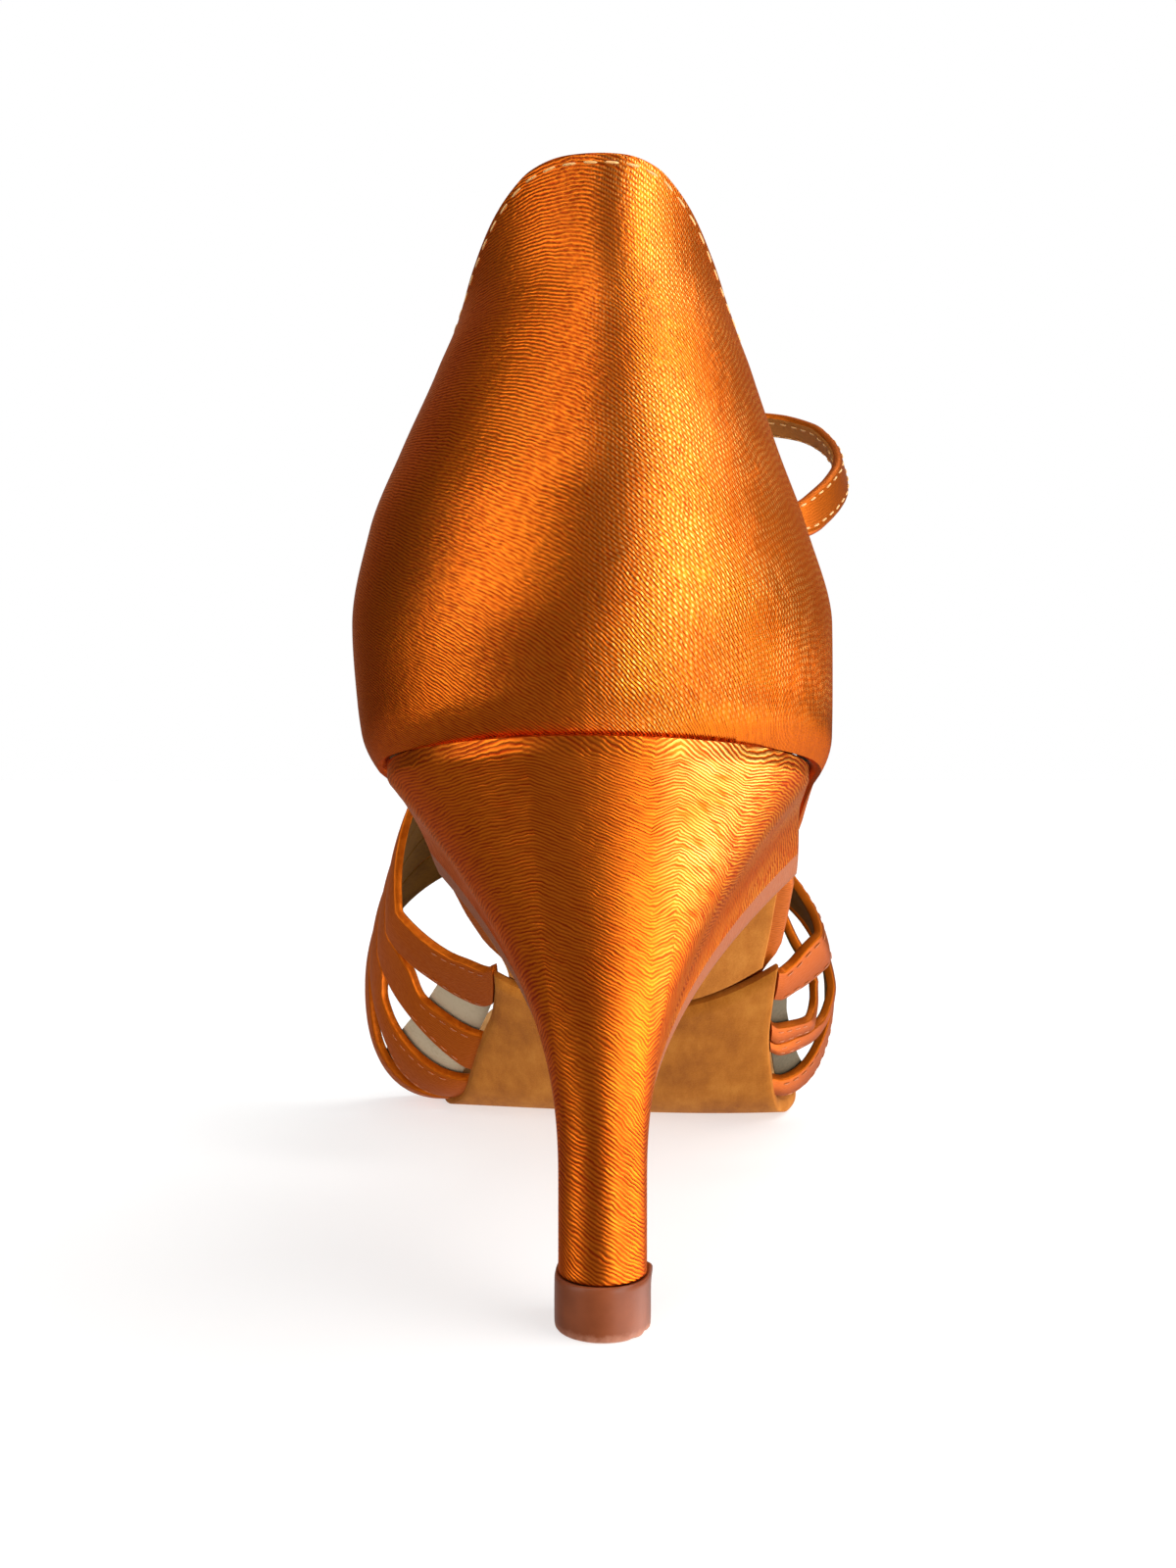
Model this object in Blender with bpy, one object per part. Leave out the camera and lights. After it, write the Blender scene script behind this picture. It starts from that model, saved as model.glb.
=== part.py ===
"""Latin dance shoe, right foot: peaked satin heel cup, four-strap open-toe vamp with T-bar, slim flared heel.

Every size below is in millimetres and is turned into metres in one place, add_object.
X points to the outer (lateral) side, Y to the toe, Z up. The origin is the centre of the heel tip's
bottom face, and the shoe stands on the plane Z = 0, on its heel tip and on its forefoot.
"""

import math

import bpy
import numpy as np

MM = 0.001
GAP = 0.3                     # clearance between pieces that touch on the real shoe
SOLE_TOP_GAP = 0.45           # the same over the outsole, whose facets cut across the hollow of the arch

# ---- last: bottom profile, outline and forefoot sections -------------------------------------------
HEEL_BACK_Y = -22.2           # rearmost point of the seat
TOE_Y = 205.0                 # foremost point of the sole
SOLE_TOP_Z = 3.0              # feather surface above the floor at the tread

# Corners of the bottom profile, seen from the side, each rounded with its radius.
PROFILE = (
    # y, z, radius
    (HEEL_BACK_Y, 75.7, 0.0),
    (29.0, 66.0, 55.0),
    (105.5, SOLE_TOP_Z, 30.0),
    (158.0, SOLE_TOP_Z, 140.0),
    (TOE_Y + 4.0, 10.0, 0.0),
)

HEEL_ROUND_Y = 4.0            # where the rounded heel end of the outline starts
TOE_ROUND_Y = 130.0           # where the rounded toe end starts

# Plan outline of the feather edge between the rounded ends.
OUTLINE = (
    # y, centre x, half width
    (4.0, -0.8, 27.2),
    (20.0, -0.9, 28.0),
    (38.0, 0.2, 28.3),
    (54.0, 1.6, 26.8),
    (69.0, 2.9, 24.6),
    (80.0, 2.1, 25.3),
    (92.0, 0.6, 28.1),
    (105.0, -0.3, 31.6),
    (113.0, -1.0, 35.0),
    (125.0, -1.4, 37.9),
    (TOE_ROUND_Y, -1.8, 38.1),
    (150.0, -3.2, 38.1),
    (175.0, -6.2, 38.1),
    (TOE_Y, -10.5, 38.1),
)

# How far the sole's edges stand above its centre line.
CAMBER = (
    # y, rise of the edges
    (HEEL_BACK_Y, 0.6),
    (30.0, 1.0),
    (60.0, 2.4),
    (85.0, 2.8),
    (105.0, 1.2),
    (120.0, 0.0),
    (TOE_Y, 0.0),
)

# Forefoot cross sections of the last, from the inner bulge over the instep to the outer bulge.
FOREFOOT = (
    # y, inner x, inner z, top x, top z, outer x, outer z
    (66.0, -31.0, 54.0, -11.0, 99.0, 32.6, 46.0),
    (80.0, -39.4, 45.0, -11.0, 85.0, 36.8, 35.5),
    (94.0, -45.2, 36.0, -10.5, 71.0, 39.2, 29.5),
    (106.0, -49.6, 29.0, -10.0, 59.5, 40.3, 26.5),
    (116.0, -52.0, 23.5, -9.0, 51.5, 40.9, 23.5),
    (126.0, -52.2, 19.0, -8.5, 45.5, 41.0, 19.5),
    (140.0, -49.0, 16.0, -8.0, 39.0, 39.5, 15.0),
)
INNER_FULLNESS = 0.88         # section exponent of the inner shoulder: below 1 is fuller than an ellipse
OUTER_FULLNESS = (
    # y, section exponent of the outer shoulder: above 1 is flatter
    (66.0, 1.45),
    (82.0, 1.45),
    (94.0, 1.4),
    (106.0, 1.0),
    (116.0, 0.87),
    (140.0, 0.8),
)
TUCK_ANGLE = 1.5              # how far the sections turn under towards the feather edge, in radians

# Below the bulge each section is a superellipse: exponent 1 is straight, 2 round, above 2 fuller.
LOW_ROUNDNESS = (
    # y, inner, outer
    (82.0, 1.15, 1.1),
    (92.0, 1.3, 1.25),
    (102.0, 1.8, 1.6),
    (110.0, 2.1, 2.0),
    (120.0, 2.5, 2.1),
)

BALL_SKEW = 0.085             # slant of the ball line across the foot
SKEW_SHARE = (
    # y, share of the slant
    (55.0, 0.0),
    (100.0, 1.0),
    (150.0, 1.0),
    (TOE_Y, 0.6),
)

# ---- sole, insole --------------------------------------------------------------------------------
LINE_BEND = 2.2               # power of the curved lines across the sole: the step and the breast
SHANK_COVER_THICKNESS = 1.5
SHANK_COVER_INSET = 2.6       # the shank cover stops this far inside the feather edge
STEP_GAP = 0.5
STEP_CENTRE_Y = 73.0          # waist step of the outsole on the centre line
STEP_EDGE_Y = 66.8            # the same step at the edges, on average
STEP_SLANT = -2.0             # how much further back it is at the outer edge
BREAST_CENTRE_Y = 27.0        # heel breast line under the seat, on the centre line
BREAST_EDGE_Y = 43.5          # the same line at the wings
BOARD_THICKNESS = 2.4
BOARD_LEDGE = 2.3             # how far the board stays inside the feather edge where straps pass it
BOARD_OVERHANG = 0.3          # how far the wrapped board stands past the suede along the arch
SOCK_THICKNESS = 2.0
SOCK_MARGIN = 1.2

# ---- heel ----------------------------------------------------------------------------------------
TIP_HEIGHT = 7.0
TIP_HALF_WIDTH = 6.15
TIP_HALF_LENGTH = 6.2
STEM_INSET = 0.45             # the covered stem is this much slimmer than the tip's sleeve
FLARE_START = 0.18            # share of the heel's height at which the stem starts to flare
FLARE_END = 0.97              # share of its height from which its sides follow the seat's outline
FLARE_GAIN = 0.45             # how much sooner than a plain power curve the flare opens
BACK_FLARE_POWER = 2.2        # how late the back flares: a higher power keeps the stem slim for longer
BREAST_FLARE_POWER = 3.1
WING_ANGLE = 2.18             # turn from the back at which the sides end in the breast's wings, in radians
WING_STAND_BACK = 0.5         # the heel's wings stop this far behind the breast line
SEAT_BACK_SHARE = 0.42        # share of that turn taken by the seat's rounded back
SEAT_MIDDLE_Y = 6.0
HEEL_COLUMNS = 36
HEEL_LEVELS = 15
TIP_COLUMNS = 28
TIP_RINGS = (
    # z, growth over the stem's section
    (0.0, -0.5),
    (0.5, 0.0),
    (3.4, 0.05),
    (6.5, 0.0),
    (TIP_HEIGHT, -0.35),
)

# ---- counter -------------------------------------------------------------------------------------
COUNTER_WALL = 2.0
COUNTER_WIDEST_Y = 8.0
CUP_BEND_SHARE = 0.55         # share of the cup's turn taken by its rounded back
CUP_NARROW = 0.09             # how much of its half width the cup loses towards its front edge
CUP_NARROW_Z = (75.0, 110.0)  # heights between which that narrowing sets in
ROLL_HEIGHT = 5.0             # height of the rolled lower edge
ROLL_DEPTH = 1.6

# Horizontal sections of the heel cup.
CUP = (
    # z, back y, inner half width, outer half width
    (58.0, -20.0, 29.2, 28.5),
    (70.0, -21.8, 31.0, 29.6),
    (80.0, -24.4, 32.5, 29.8),
    (90.0, -26.0, 33.1, 29.7),
    (102.0, -25.2, 30.8, 26.5),
    (112.0, -23.0, 26.7, 22.8),
    (122.0, -20.4, 22.1, 19.4),
    (131.0, -18.0, 18.8, 16.6),
    (144.0, -16.2, 18.1, 15.9),
)

# Height of the topline above each point of the cup's side.
TOPLINE = (
    # y, z
    (-18.0, 142.9),
    (-16.0, 142.8),
    (-14.0, 141.9),
    (-12.4, 140.4),
    (-10.0, 138.0),
    (-6.2, 134.0),
    (-1.2, 130.0),
    (4.0, 127.0),
    (14.0, 122.8),
    (21.0, 120.9),
    (25.5, 118.9),
    (28.5, 115.8),
    (30.5, 111.0),
)

# Front edge of the cup's sides: how far forward the wall reaches at each height.
CUP_FRONT = (
    # z, y
    (58.0, 39.0),
    (66.0, 36.0),
    (80.0, 31.5),
    (95.0, 29.0),
    (108.0, 28.6),
    (120.0, 30.5),
)

# ---- vamp straps -----------------------------------------------------------------------------------
STRAP_THICKNESS = 1.7
STRAP_LIFT = 0.15             # clearance between the straps' lining and the last

# Each strap's rear and front edge along the foot, at the feather edge and over the instep.
# share runs from 0 at the inner feather edge over the foot to 1 at the outer one.
STRAPS = (
    # share, A rear, A front, B rear, B front, C rear, C front, D rear, D front
    (0.00, 68.5, 79.0, 88.4, 98.2, 101.2, 111.4, 112.6, 125.0),
    (0.04, 70.4, 81.0, 89.0, 97.0, 101.4, 110.4, 112.2, 123.8),
    (0.08, 72.8, 83.0, 89.8, 96.4, 101.4, 109.4, 112.4, 122.0),
    (0.12, 76.2, 84.8, 90.6, 96.2, 101.2, 107.2, 112.0, 120.0),
    (0.155, 78.4, 86.6, 88.0, 96.2, 100.2, 105.6, 109.8, 118.0),
    (0.185, 79.8, 87.6, 87.6, 96.0, 96.0, 104.8, 107.0, 116.8),
    (0.25, 82.4, 89.6, 89.6, 96.6, 96.6, 104.2, 104.2, 114.4),
    (0.50, 84.6, 91.8, 91.8, 98.8, 98.8, 105.6, 105.6, 112.6),
    (0.64, 82.8, 90.8, 90.8, 97.6, 97.6, 104.0, 104.0, 112.2),
    (0.70, 79.6, 90.4, 92.8, 96.6, 100.6, 105.0, 105.0, 112.0),
    (0.74, 76.0, 84.4, 92.0, 94.4, 101.2, 105.2, 105.6, 111.6),
    (0.79, 71.2, 79.6, 91.4, 93.6, 98.6, 102.4, 104.2, 110.4),
    (0.84, 69.4, 77.8, 90.6, 92.6, 95.8, 99.0, 102.2, 108.4),
    (0.87, 68.8, 76.8, 88.6, 92.4, 92.4, 96.4, 100.6, 107.0),
    (0.91, 68.2, 75.4, 84.8, 88.8, 88.8, 92.6, 98.8, 105.4),
    (0.95, 67.4, 74.6, 82.4, 86.8, 86.8, 90.2, 96.6, 102.8),
    (1.00, 66.8, 73.6, 80.4, 85.0, 85.0, 88.0, 94.4, 99.8),
)
STRAP_STATIONS = 53
SMALLEST_SLIT = 0.45          # where two straps come nearer than this they are one
# How far the second strap hangs inside the last's surface where it runs free on the outer side.
SECOND_STRAP_SAG = (
    # share, sag
    (0.68, 0.0),
    (0.74, 3.4),
    (0.80, 3.4),
    (0.84, 1.6),
    (0.87, 0.0),
)

# ---- T-bar and ankle strap -------------------------------------------------------------------------
TBAR_WIDTH = 13.0             # where it lies on the vamp
TBAR_LOOP_WIDTH = 8.0         # where it goes round the ankle strap
TBAR_TAPER_Z = (75.0, 120.0)  # heights between which it narrows
TBAR_X = -7.0
# The T-bar's middle line: from the vamp up the instep, round the ankle strap and down again.
TBAR_PATH = (
    # y, z
    (79.0, 90.8),
    (72.0, 100.2),
    (66.4, 109.0),
    (61.3, 117.0),
    (57.0, 122.4),
    (51.2, 126.2),
    (50.4, 129.8),
    (54.2, 131.4),
    (59.4, 128.4),
    (61.9, 122.6),
    (64.2, 117.0),
)
TBAR_SEAT = (102.0, 96.0, 90.0)   # y of the T-bar's end where it lies on the vamp
TBAR_SINK = 0.4               # how far its end is let into the vamp's wall
ANKLE_WIDTH = 5.4
ANKLE_THICKNESS = 1.5
ANKLE_STATIONS = 60
# Free run of the ankle strap's middle line. Its two ends are seated on the counter by ankle_rows.
# lean is how far its outer face is turned up.
ANKLE_PATH = (
    # x, y, z, lean in degrees
    (-18.7, 33.0, 115.4, 28.0),
    (-17.6, 45.0, 121.4, 36.0),
    (-15.0, 52.4, 125.2, 46.0),
    (-9.5, 55.4, 126.8, 54.0),
    (-4.0, 56.2, 127.5, 54.0),
    (3.0, 56.4, 128.0, 58.0),
    (13.0, 57.0, 128.4, 64.0),
    (21.0, 56.4, 128.0, 66.0),
    (28.2, 53.4, 126.5, 62.0),
    (32.3, 49.0, 123.9, 48.0),
    (34.2, 45.4, 121.0, 34.0),
    (35.0, 42.0, 118.0, 20.0),
    (34.7, 39.0, 115.2, 10.0),
    (33.2, 36.2, 112.6, 8.0),
    (31.0, 33.6, 110.2, 12.0),
    (28.6, 31.2, 108.2, 17.0),
)
ANKLE_SEATS = (
    # side, y, z, lean, 1 outside the wall or -1 inside it
    (-1, 20.0, 111.8, 22.0, -1),
    (-1, 26.0, 113.0, 22.0, -1),
    (1, 27.6, 106.0, 23.0, 1),
    (1, 24.0, 104.9, 22.0, 1),
    (1, 20.6, 104.0, 21.0, 1),
    (1, 17.6, 103.4, 20.0, 1),
)
SEAT_CLEARANCE = 0.55         # how far the strap's face stays off the counter's wall

# ---- buckle ----------------------------------------------------------------------------------------
LOOP_BOTTOM_Z = 112.0         # below this the strap's outer end turns back to the counter
BUCKLE_Y = 24.6               # where the frame sits on the ankle strap's end
BUCKLE_HALF_LENGTH = 3.7      # along the strap
BUCKLE_HALF_HEIGHT = 4.4
BUCKLE_BAR = 1.3
BUCKLE_THICKNESS = 0.9
PRONG_WIDTH = 1.1

# ---- materials: base colour, roughness, metallic ---------------------------------------------------
SATIN = ("copper satin", (0.56, 0.15, 0.022), 0.42, 0.0)
SUEDE = ("tan suede", (0.42, 0.17, 0.045), 0.95, 0.0)
SOCK = ("sock lining", (0.36, 0.20, 0.07), 0.7, 0.0)
TIP_PLASTIC = ("heel tip plastic", (0.23, 0.08, 0.04), 0.28, 0.0)
METAL = ("buckle metal", (0.75, 0.72, 0.66), 0.25, 1.0)


def clear_scene():
    for obj in list(bpy.data.objects):
        bpy.data.objects.remove(obj, do_unlink=True)


def material(spec):
    name, colour, roughness, metallic = spec
    found = bpy.data.materials.get(name)
    if found:
        return found
    made = bpy.data.materials.new(name)
    made.use_nodes = True
    shader = made.node_tree.nodes["Principled BSDF"]
    shader.inputs["Base Color"].default_value = (*colour, 1.0)
    shader.inputs["Roughness"].default_value = roughness
    shader.inputs["Metallic"].default_value = metallic
    made.diffuse_color = (*colour, 1.0)
    return made


def add_object(name, points, faces, spec, sharp_degrees=40.0):
    """A mesh object from points in millimetres."""
    mesh = bpy.data.meshes.new(name)
    mesh.from_pydata([tuple(float(c) * MM for c in point) for point in points], [], faces)
    mesh.validate()
    mesh.shade_smooth()
    mesh.set_sharp_from_angle(angle=math.radians(sharp_degrees))
    mesh.materials.append(material(spec))
    obj = bpy.data.objects.new(name, mesh)
    bpy.context.scene.collection.objects.link(obj)
    return obj


# ---- curves and surfaces of the last ---------------------------------------------------------------


def smooth(table, column, at):
    """A column of a table at a value of its first column, on a smooth curve that never overshoots."""
    rows = np.array(table, float)
    x, y = rows[:, 0], rows[:, column]
    run = np.diff(x)
    slope = np.diff(y) / run
    bend = slope[:-1] * slope[1:]
    weight = run[:-1] + run[1:]
    inner = np.where(
        bend > 0,
        bend * weight / np.where(bend > 0, slope[1:] * run[:-1] + slope[:-1] * run[1:], 1.0),
        0.0,
    )
    ends = np.concatenate([slope[:1], inner, slope[-1:]])
    at = np.clip(np.asarray(at, float), x[0], x[-1])
    i = np.clip(np.searchsorted(x, at, side="right") - 1, 0, len(run) - 1)
    t = (at - x[i]) / run[i]
    blend = t * t * (3 - 2 * t)
    lean = run[i] * (ends[i] * t * (1 - t) ** 2 - ends[i + 1] * t * t * (1 - t))
    return y[i] + (y[i + 1] - y[i]) * blend + lean


def rounded_profile(corners, steps=12):
    """The polyline through the corners with an arc of each corner's radius."""
    path = [np.array(corners[0][:2])]
    for before, here, after in zip(corners, corners[1:], corners[2:]):
        corner = np.array(here[:2])
        back = np.array(before[:2]) - corner
        ahead = np.array(after[:2]) - corner
        back /= np.linalg.norm(back)
        ahead /= np.linalg.norm(ahead)
        half = 0.5 * math.acos(float(np.clip(back @ ahead, -1, 1)))
        reach = here[2] / math.tan(half)
        centre = corner + (back + ahead) / np.linalg.norm(back + ahead) * here[2] / math.sin(half)
        start = corner + back * reach - centre
        end = corner + ahead * reach - centre
        turn = math.acos(float(np.clip(start @ end / here[2] ** 2, -1, 1)))
        for k in range(steps + 1):
            share = k / steps
            arm = (start * math.sin((1 - share) * turn) + end * math.sin(share * turn)) / math.sin(turn)
            path.append(centre + arm)
    path.append(np.array(corners[-1][:2]))
    return np.array(path)


PROFILE_LINE = rounded_profile(PROFILE)


def profile_z(y, x=0.0):
    """Height of the bottom profile at y. The ball line runs further back on the outer side."""
    skewed = y + BALL_SKEW * x * smooth(SKEW_SHARE, 1, y)
    return np.interp(skewed, PROFILE_LINE[:, 0], PROFILE_LINE[:, 1])


def profile_slope(y):
    step = 0.5
    return (profile_z(y + step) - profile_z(y - step)) / (2 * step)


def outline(y, inset=0.0):
    """(inner x, outer x) of the feather edge at y, drawn in by inset all round."""
    centre = smooth(OUTLINE, 1, y)
    half = smooth(OUTLINE, 2, y) - inset
    if y < HEEL_ROUND_Y:
        reach = HEEL_ROUND_Y - HEEL_BACK_Y - inset
        half = half * math.sqrt(max(0.0, 1 - ((HEEL_ROUND_Y - y) / reach) ** 2))
    if y > TOE_ROUND_Y:
        reach = TOE_Y - TOE_ROUND_Y - inset
        half = half * math.sqrt(max(0.0, 1 - ((y - TOE_ROUND_Y) / reach) ** 2))
    return centre - half, centre + half


def feather_z(x, y):
    """Height of the last's bottom surface, which rises a little towards its edges."""
    centre = smooth(OUTLINE, 1, y)
    half = smooth(OUTLINE, 2, y)
    share = min(1.0, abs(x - centre) / half)
    return profile_z(y, x) + smooth(CAMBER, 1, y) * share**2.5


def below_feather(x, y, depth):
    """The point at this depth under the feather surface, square to its slope along the foot."""
    slope = profile_slope(y)
    length = math.hypot(1.0, slope)
    return (x, y + depth * slope / length, feather_z(x, y) - depth / length)


# ---- mesh builders -----------------------------------------------------------------------------------


def outward(points, faces):
    """The faces, turned over where the solid they bound would be inside out."""
    corners = np.array(points, float)
    volume = 0.0
    for face in faces:
        for b, c in zip(face[1:-1], face[2:]):
            volume += float(np.dot(corners[face[0]], np.cross(corners[b], corners[c])))
    return faces if volume > 0 else [tuple(reversed(face)) for face in faces]


def shell(outer, inner, keep=None):
    """Points and faces of the closed solid between two grids, leaving out cells where keep is False.

    Outer points that coincide become one, so that a gap may close to nothing along the grid.
    """
    rows, columns = len(outer), len(outer[0])
    index, points, number = {}, [], {}
    for k in range(rows):
        for j in range(columns):
            key = tuple(round(float(c), 3) for c in outer[k][j])
            if key not in index:
                index[key] = len(points)
                points.append((outer[k][j], inner[k][j]))
            number[k, j] = index[key]
    cells = []
    for k in range(rows - 1):
        for j in range(columns - 1):
            if keep is not None and not keep[k][j]:
                continue
            ring = []
            for corner in ((k, j), (k, j + 1), (k + 1, j + 1), (k + 1, j)):
                if number[corner] not in ring:
                    ring.append(number[corner])
            if len(ring) > 2:
                cells.append(tuple(ring))
    count = len(points)
    edges = {}
    for cell in cells:
        for a, b in zip(cell, cell[1:] + cell[:1]):
            edges[a, b] = True
    faces = list(cells)
    faces += [tuple(count + i for i in reversed(cell)) for cell in cells]
    faces += [(b, a, count + a, count + b) for a, b in edges if (b, a) not in edges]
    flat = [outer_point for outer_point, _ in points] + [inner_point for _, inner_point in points]
    used = sorted({i for face in faces for i in face})
    place = {old: new for new, old in enumerate(used)}
    faces = [tuple(place[i] for i in face) for face in faces]
    flat = [flat[i] for i in used]
    return flat, outward(flat, faces)


def loft(rings, top_rings=()):
    """Points and faces of a solid through closed rings, its bottom capped flat.

    The top is closed over top_rings, which shrink towards their middle, and then by one face.
    """
    everything = list(rings) + list(top_rings)
    size = len(rings[0])
    points = [point for ring in everything for point in ring]
    faces = [tuple(reversed(range(size)))]
    for k in range(len(everything) - 1):
        for j in range(size):
            a, b = k * size + j, k * size + (j + 1) % size
            faces.append((a, b, b + size, a + size))
    last = (len(everything) - 1) * size
    faces.append(tuple(range(last, last + size)))
    return points, outward(points, faces)


def ribbon(centres, across, normals, width, thickness):
    """Grids for shell of a flat strap along a line: its outer and inner faces."""
    outer, inner = [], []
    for centre, side, normal in zip(centres, across, normals):
        outer_row, inner_row = [], []
        for share in (-0.5, 0.5):
            foot = centre + side * width * share
            outer_row.append(foot + normal * thickness / 2)
            inner_row.append(foot - normal * thickness / 2)
        outer.append(outer_row)
        inner.append(inner_row)
    return outer, inner


def smooth_path(rows, count):
    """count points, evenly spaced along a smooth curve through the rows, with every column followed."""
    table = np.array(rows, float)
    padded = np.vstack([2 * table[0] - table[1], table, 2 * table[-1] - table[-2]])
    dense, fine = [], 16
    for i in range(len(table) - 1):
        a, b, c, d = padded[i : i + 4]
        for k in range(fine):
            t = k / fine
            second, third = 2 * a - 5 * b + 4 * c - d, 3 * b - a - 3 * c + d
            dense.append(0.5 * (2 * b + (c - a) * t + second * t**2 + third * t**3))
    dense.append(table[-1])
    dense = np.array(dense)
    length = np.concatenate([[0], np.cumsum(np.linalg.norm(np.diff(dense[:, :3], axis=0), axis=1))])
    at = np.linspace(0, length[-1], count)
    return np.stack([np.interp(at, length, dense[:, c]) for c in range(dense.shape[1])], axis=1)


def directions(path):
    """Unit tangents along a path."""
    tangents = np.gradient(path, axis=0)
    return tangents / np.linalg.norm(tangents, axis=1)[:, None]


# ---- sole and insole ---------------------------------------------------------------------------------


def line_across(centre_y, edge_y, share, slant=0.0):
    """A curved line across the sole: share runs from -1 at the inner edge to 1 at the outer one."""
    return centre_y + (edge_y - centre_y) * abs(share) ** LINE_BEND + slant * share


def slab(stations, shares, top_depth, bottom_depth, inset, floor=None):
    """Grids of a sheet under the feather surface. stations gives y for a step and a share across."""
    outer, inner = [], []
    for step in range(stations.steps + 1):
        upper, lower = [], []
        for share in shares:
            y = stations.y(step, share)
            left, right = outline(y, inset)
            x = 0.5 * (left + right) + 0.5 * (right - left) * share
            upper.append(below_feather(x, y, top_depth))
            x_low, y_low, z_low = below_feather(x, y, bottom_depth)
            lower.append((x_low, y_low, z_low if floor is None else max(z_low, floor)))
        outer.append(lower)
        inner.append(upper)
    return outer, inner


class Stations:
    """Rows of points along the sole, from one line across it to another."""

    def __init__(self, start, end, steps, ease=0.0):
        self.start, self.end, self.steps, self.ease = start, end, steps, ease

    def y(self, step, share):
        part = step / self.steps
        if self.ease:
            part = (1 - self.ease) * part + self.ease * math.sin(0.5 * math.pi * part)
        first, last = self.start(share), self.end(share)
        return first + (last - first) * part


SHARES = (-1.0, -0.86, -0.62, -0.32, 0.0, 0.32, 0.62, 0.86, 1.0)
TOE_CLOSE = 0.4               # the rounded ends stop this far short of a point
INSOLE_STEPS = 36
END_CROWDING = 0.55           # how much the insole's stations crowd towards its round ends


def make_outsole():
    """Suede forepart: from the waist step to the toe, flat on the floor under the tread."""
    rows = Stations(
        lambda share: line_across(STEP_CENTRE_Y, STEP_EDGE_Y, share, STEP_SLANT),
        lambda share: TOE_Y - TOE_CLOSE,
        34,
        ease=0.75,
    )
    outer, inner = slab(rows, SHARES, SOLE_TOP_GAP, SOLE_TOP_Z, 0.0)
    for row in outer:
        for j, (x, y, z) in enumerate(row):
            row[j] = (x, y, max(0.0, round(float(z), 3)))
    return add_object("outsole", *shell(outer, inner), SUEDE)


def make_shank_cover():
    """Suede under the arch, thinner than the forepart, so that the waist shows a step."""
    rows = Stations(
        lambda share: line_across(BREAST_CENTRE_Y + GAP, BREAST_EDGE_Y + GAP, share),
        lambda share: line_across(STEP_CENTRE_Y - STEP_GAP, STEP_EDGE_Y - STEP_GAP, share, STEP_SLANT),
        14,
    )
    outer, inner = slab(rows, SHARES, GAP, GAP + SHANK_COVER_THICKNESS, SHANK_COVER_INSET)
    return add_object("shank_cover", *shell(outer, inner), SUEDE)


def board_inset(y):
    """How far the board stays inside the feather edge: a ledge for the straps, an overhang along the arch."""
    rows = (
        (HEEL_BACK_Y, COUNTER_WALL + 1.2),
        (-5.0, COUNTER_WALL + 0.6),
        (10.0, COUNTER_WALL + 0.2),
        (40.0, COUNTER_WALL + 0.9),
        (48.0, -BOARD_OVERHANG),
        (62.0, -BOARD_OVERHANG),
        (69.0, BOARD_LEDGE),
        (127.0, BOARD_LEDGE),
        (140.0, 0.2),
        (TOE_Y, 0.2),
    )
    return float(smooth(rows, 1, y))


def insole_layer(name, bottom, top, margin, spec):
    """A layer of the insole between two heights above the feather surface."""
    outer, inner = [], []
    for step in range(INSOLE_STEPS + 1):
        even = step / INSOLE_STEPS
        eased = 0.5 - 0.5 * math.cos(math.pi * even)
        share_y = (1 - END_CROWDING) * even + END_CROWDING * eased
        inset_back = board_inset(HEEL_BACK_Y) + margin
        inset_toe = board_inset(TOE_Y) + margin
        first, last = HEEL_BACK_Y + inset_back + TOE_CLOSE, TOE_Y - inset_toe - TOE_CLOSE
        y = first + (last - first) * share_y
        left, right = outline(y, board_inset(y) + margin)
        lower, upper = [], []
        for share in SHARES:
            x = 0.5 * (left + right) + 0.5 * (right - left) * share
            lower.append(below_feather(x, y, -bottom))
            upper.append(below_feather(x, y, -top))
        outer.append(upper)
        inner.append(lower)
    return add_object(name, *shell(outer, inner), spec)


# ---- heel --------------------------------------------------------------------------------------------


def stem_section(angle, grow=0.0):
    """A point of the heel's stem: round at the back, nearly flat at the breast. Angle 0 is the back."""
    x = math.sin(angle)
    y = -math.cos(angle)
    if y > 0:
        x = math.copysign(abs(x) ** 0.5, x)
        y = y**0.5 if abs(y) > 1e-9 else 0.0
        scale = 1.0 / max(1e-9, (abs(x) ** 4 + y**4) ** 0.25)
        x, y = x * scale, y * scale
    return (TIP_HALF_WIDTH + grow) * x, (TIP_HALF_LENGTH + grow) * y


def seat_section(angle):
    """A point of the heel's top edge: the seat's outline, with a hollow breast between two wings."""
    turn = abs(angle)
    side = math.copysign(1.0, angle)
    wing_y = BREAST_EDGE_Y - WING_STAND_BACK
    if turn < WING_ANGLE:
        part = turn / WING_ANGLE
        if part < SEAT_BACK_SHARE:
            bend = 0.5 * math.pi * part / SEAT_BACK_SHARE
            y = HEEL_ROUND_Y - (HEEL_ROUND_Y - HEEL_BACK_Y) * math.cos(bend)
        else:
            along = (part - SEAT_BACK_SHARE) / (1 - SEAT_BACK_SHARE)
            y = HEEL_ROUND_Y + (wing_y - HEEL_ROUND_Y) * along
        left, right = outline(y)
        if part < SEAT_BACK_SHARE:
            centre = 0.5 * (left + right)
            half = smooth(OUTLINE, 2, HEEL_ROUND_Y) * math.sin(bend)
            return centre + side * half, y
        return (right if side > 0 else left), y
    share = 1 - (turn - WING_ANGLE) / (math.pi - WING_ANGLE)
    y = line_across(BREAST_CENTRE_Y, wing_y, share)
    left, right = outline(y)
    return 0.5 * (left + right) + side * 0.5 * (right - left) * share, y


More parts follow.
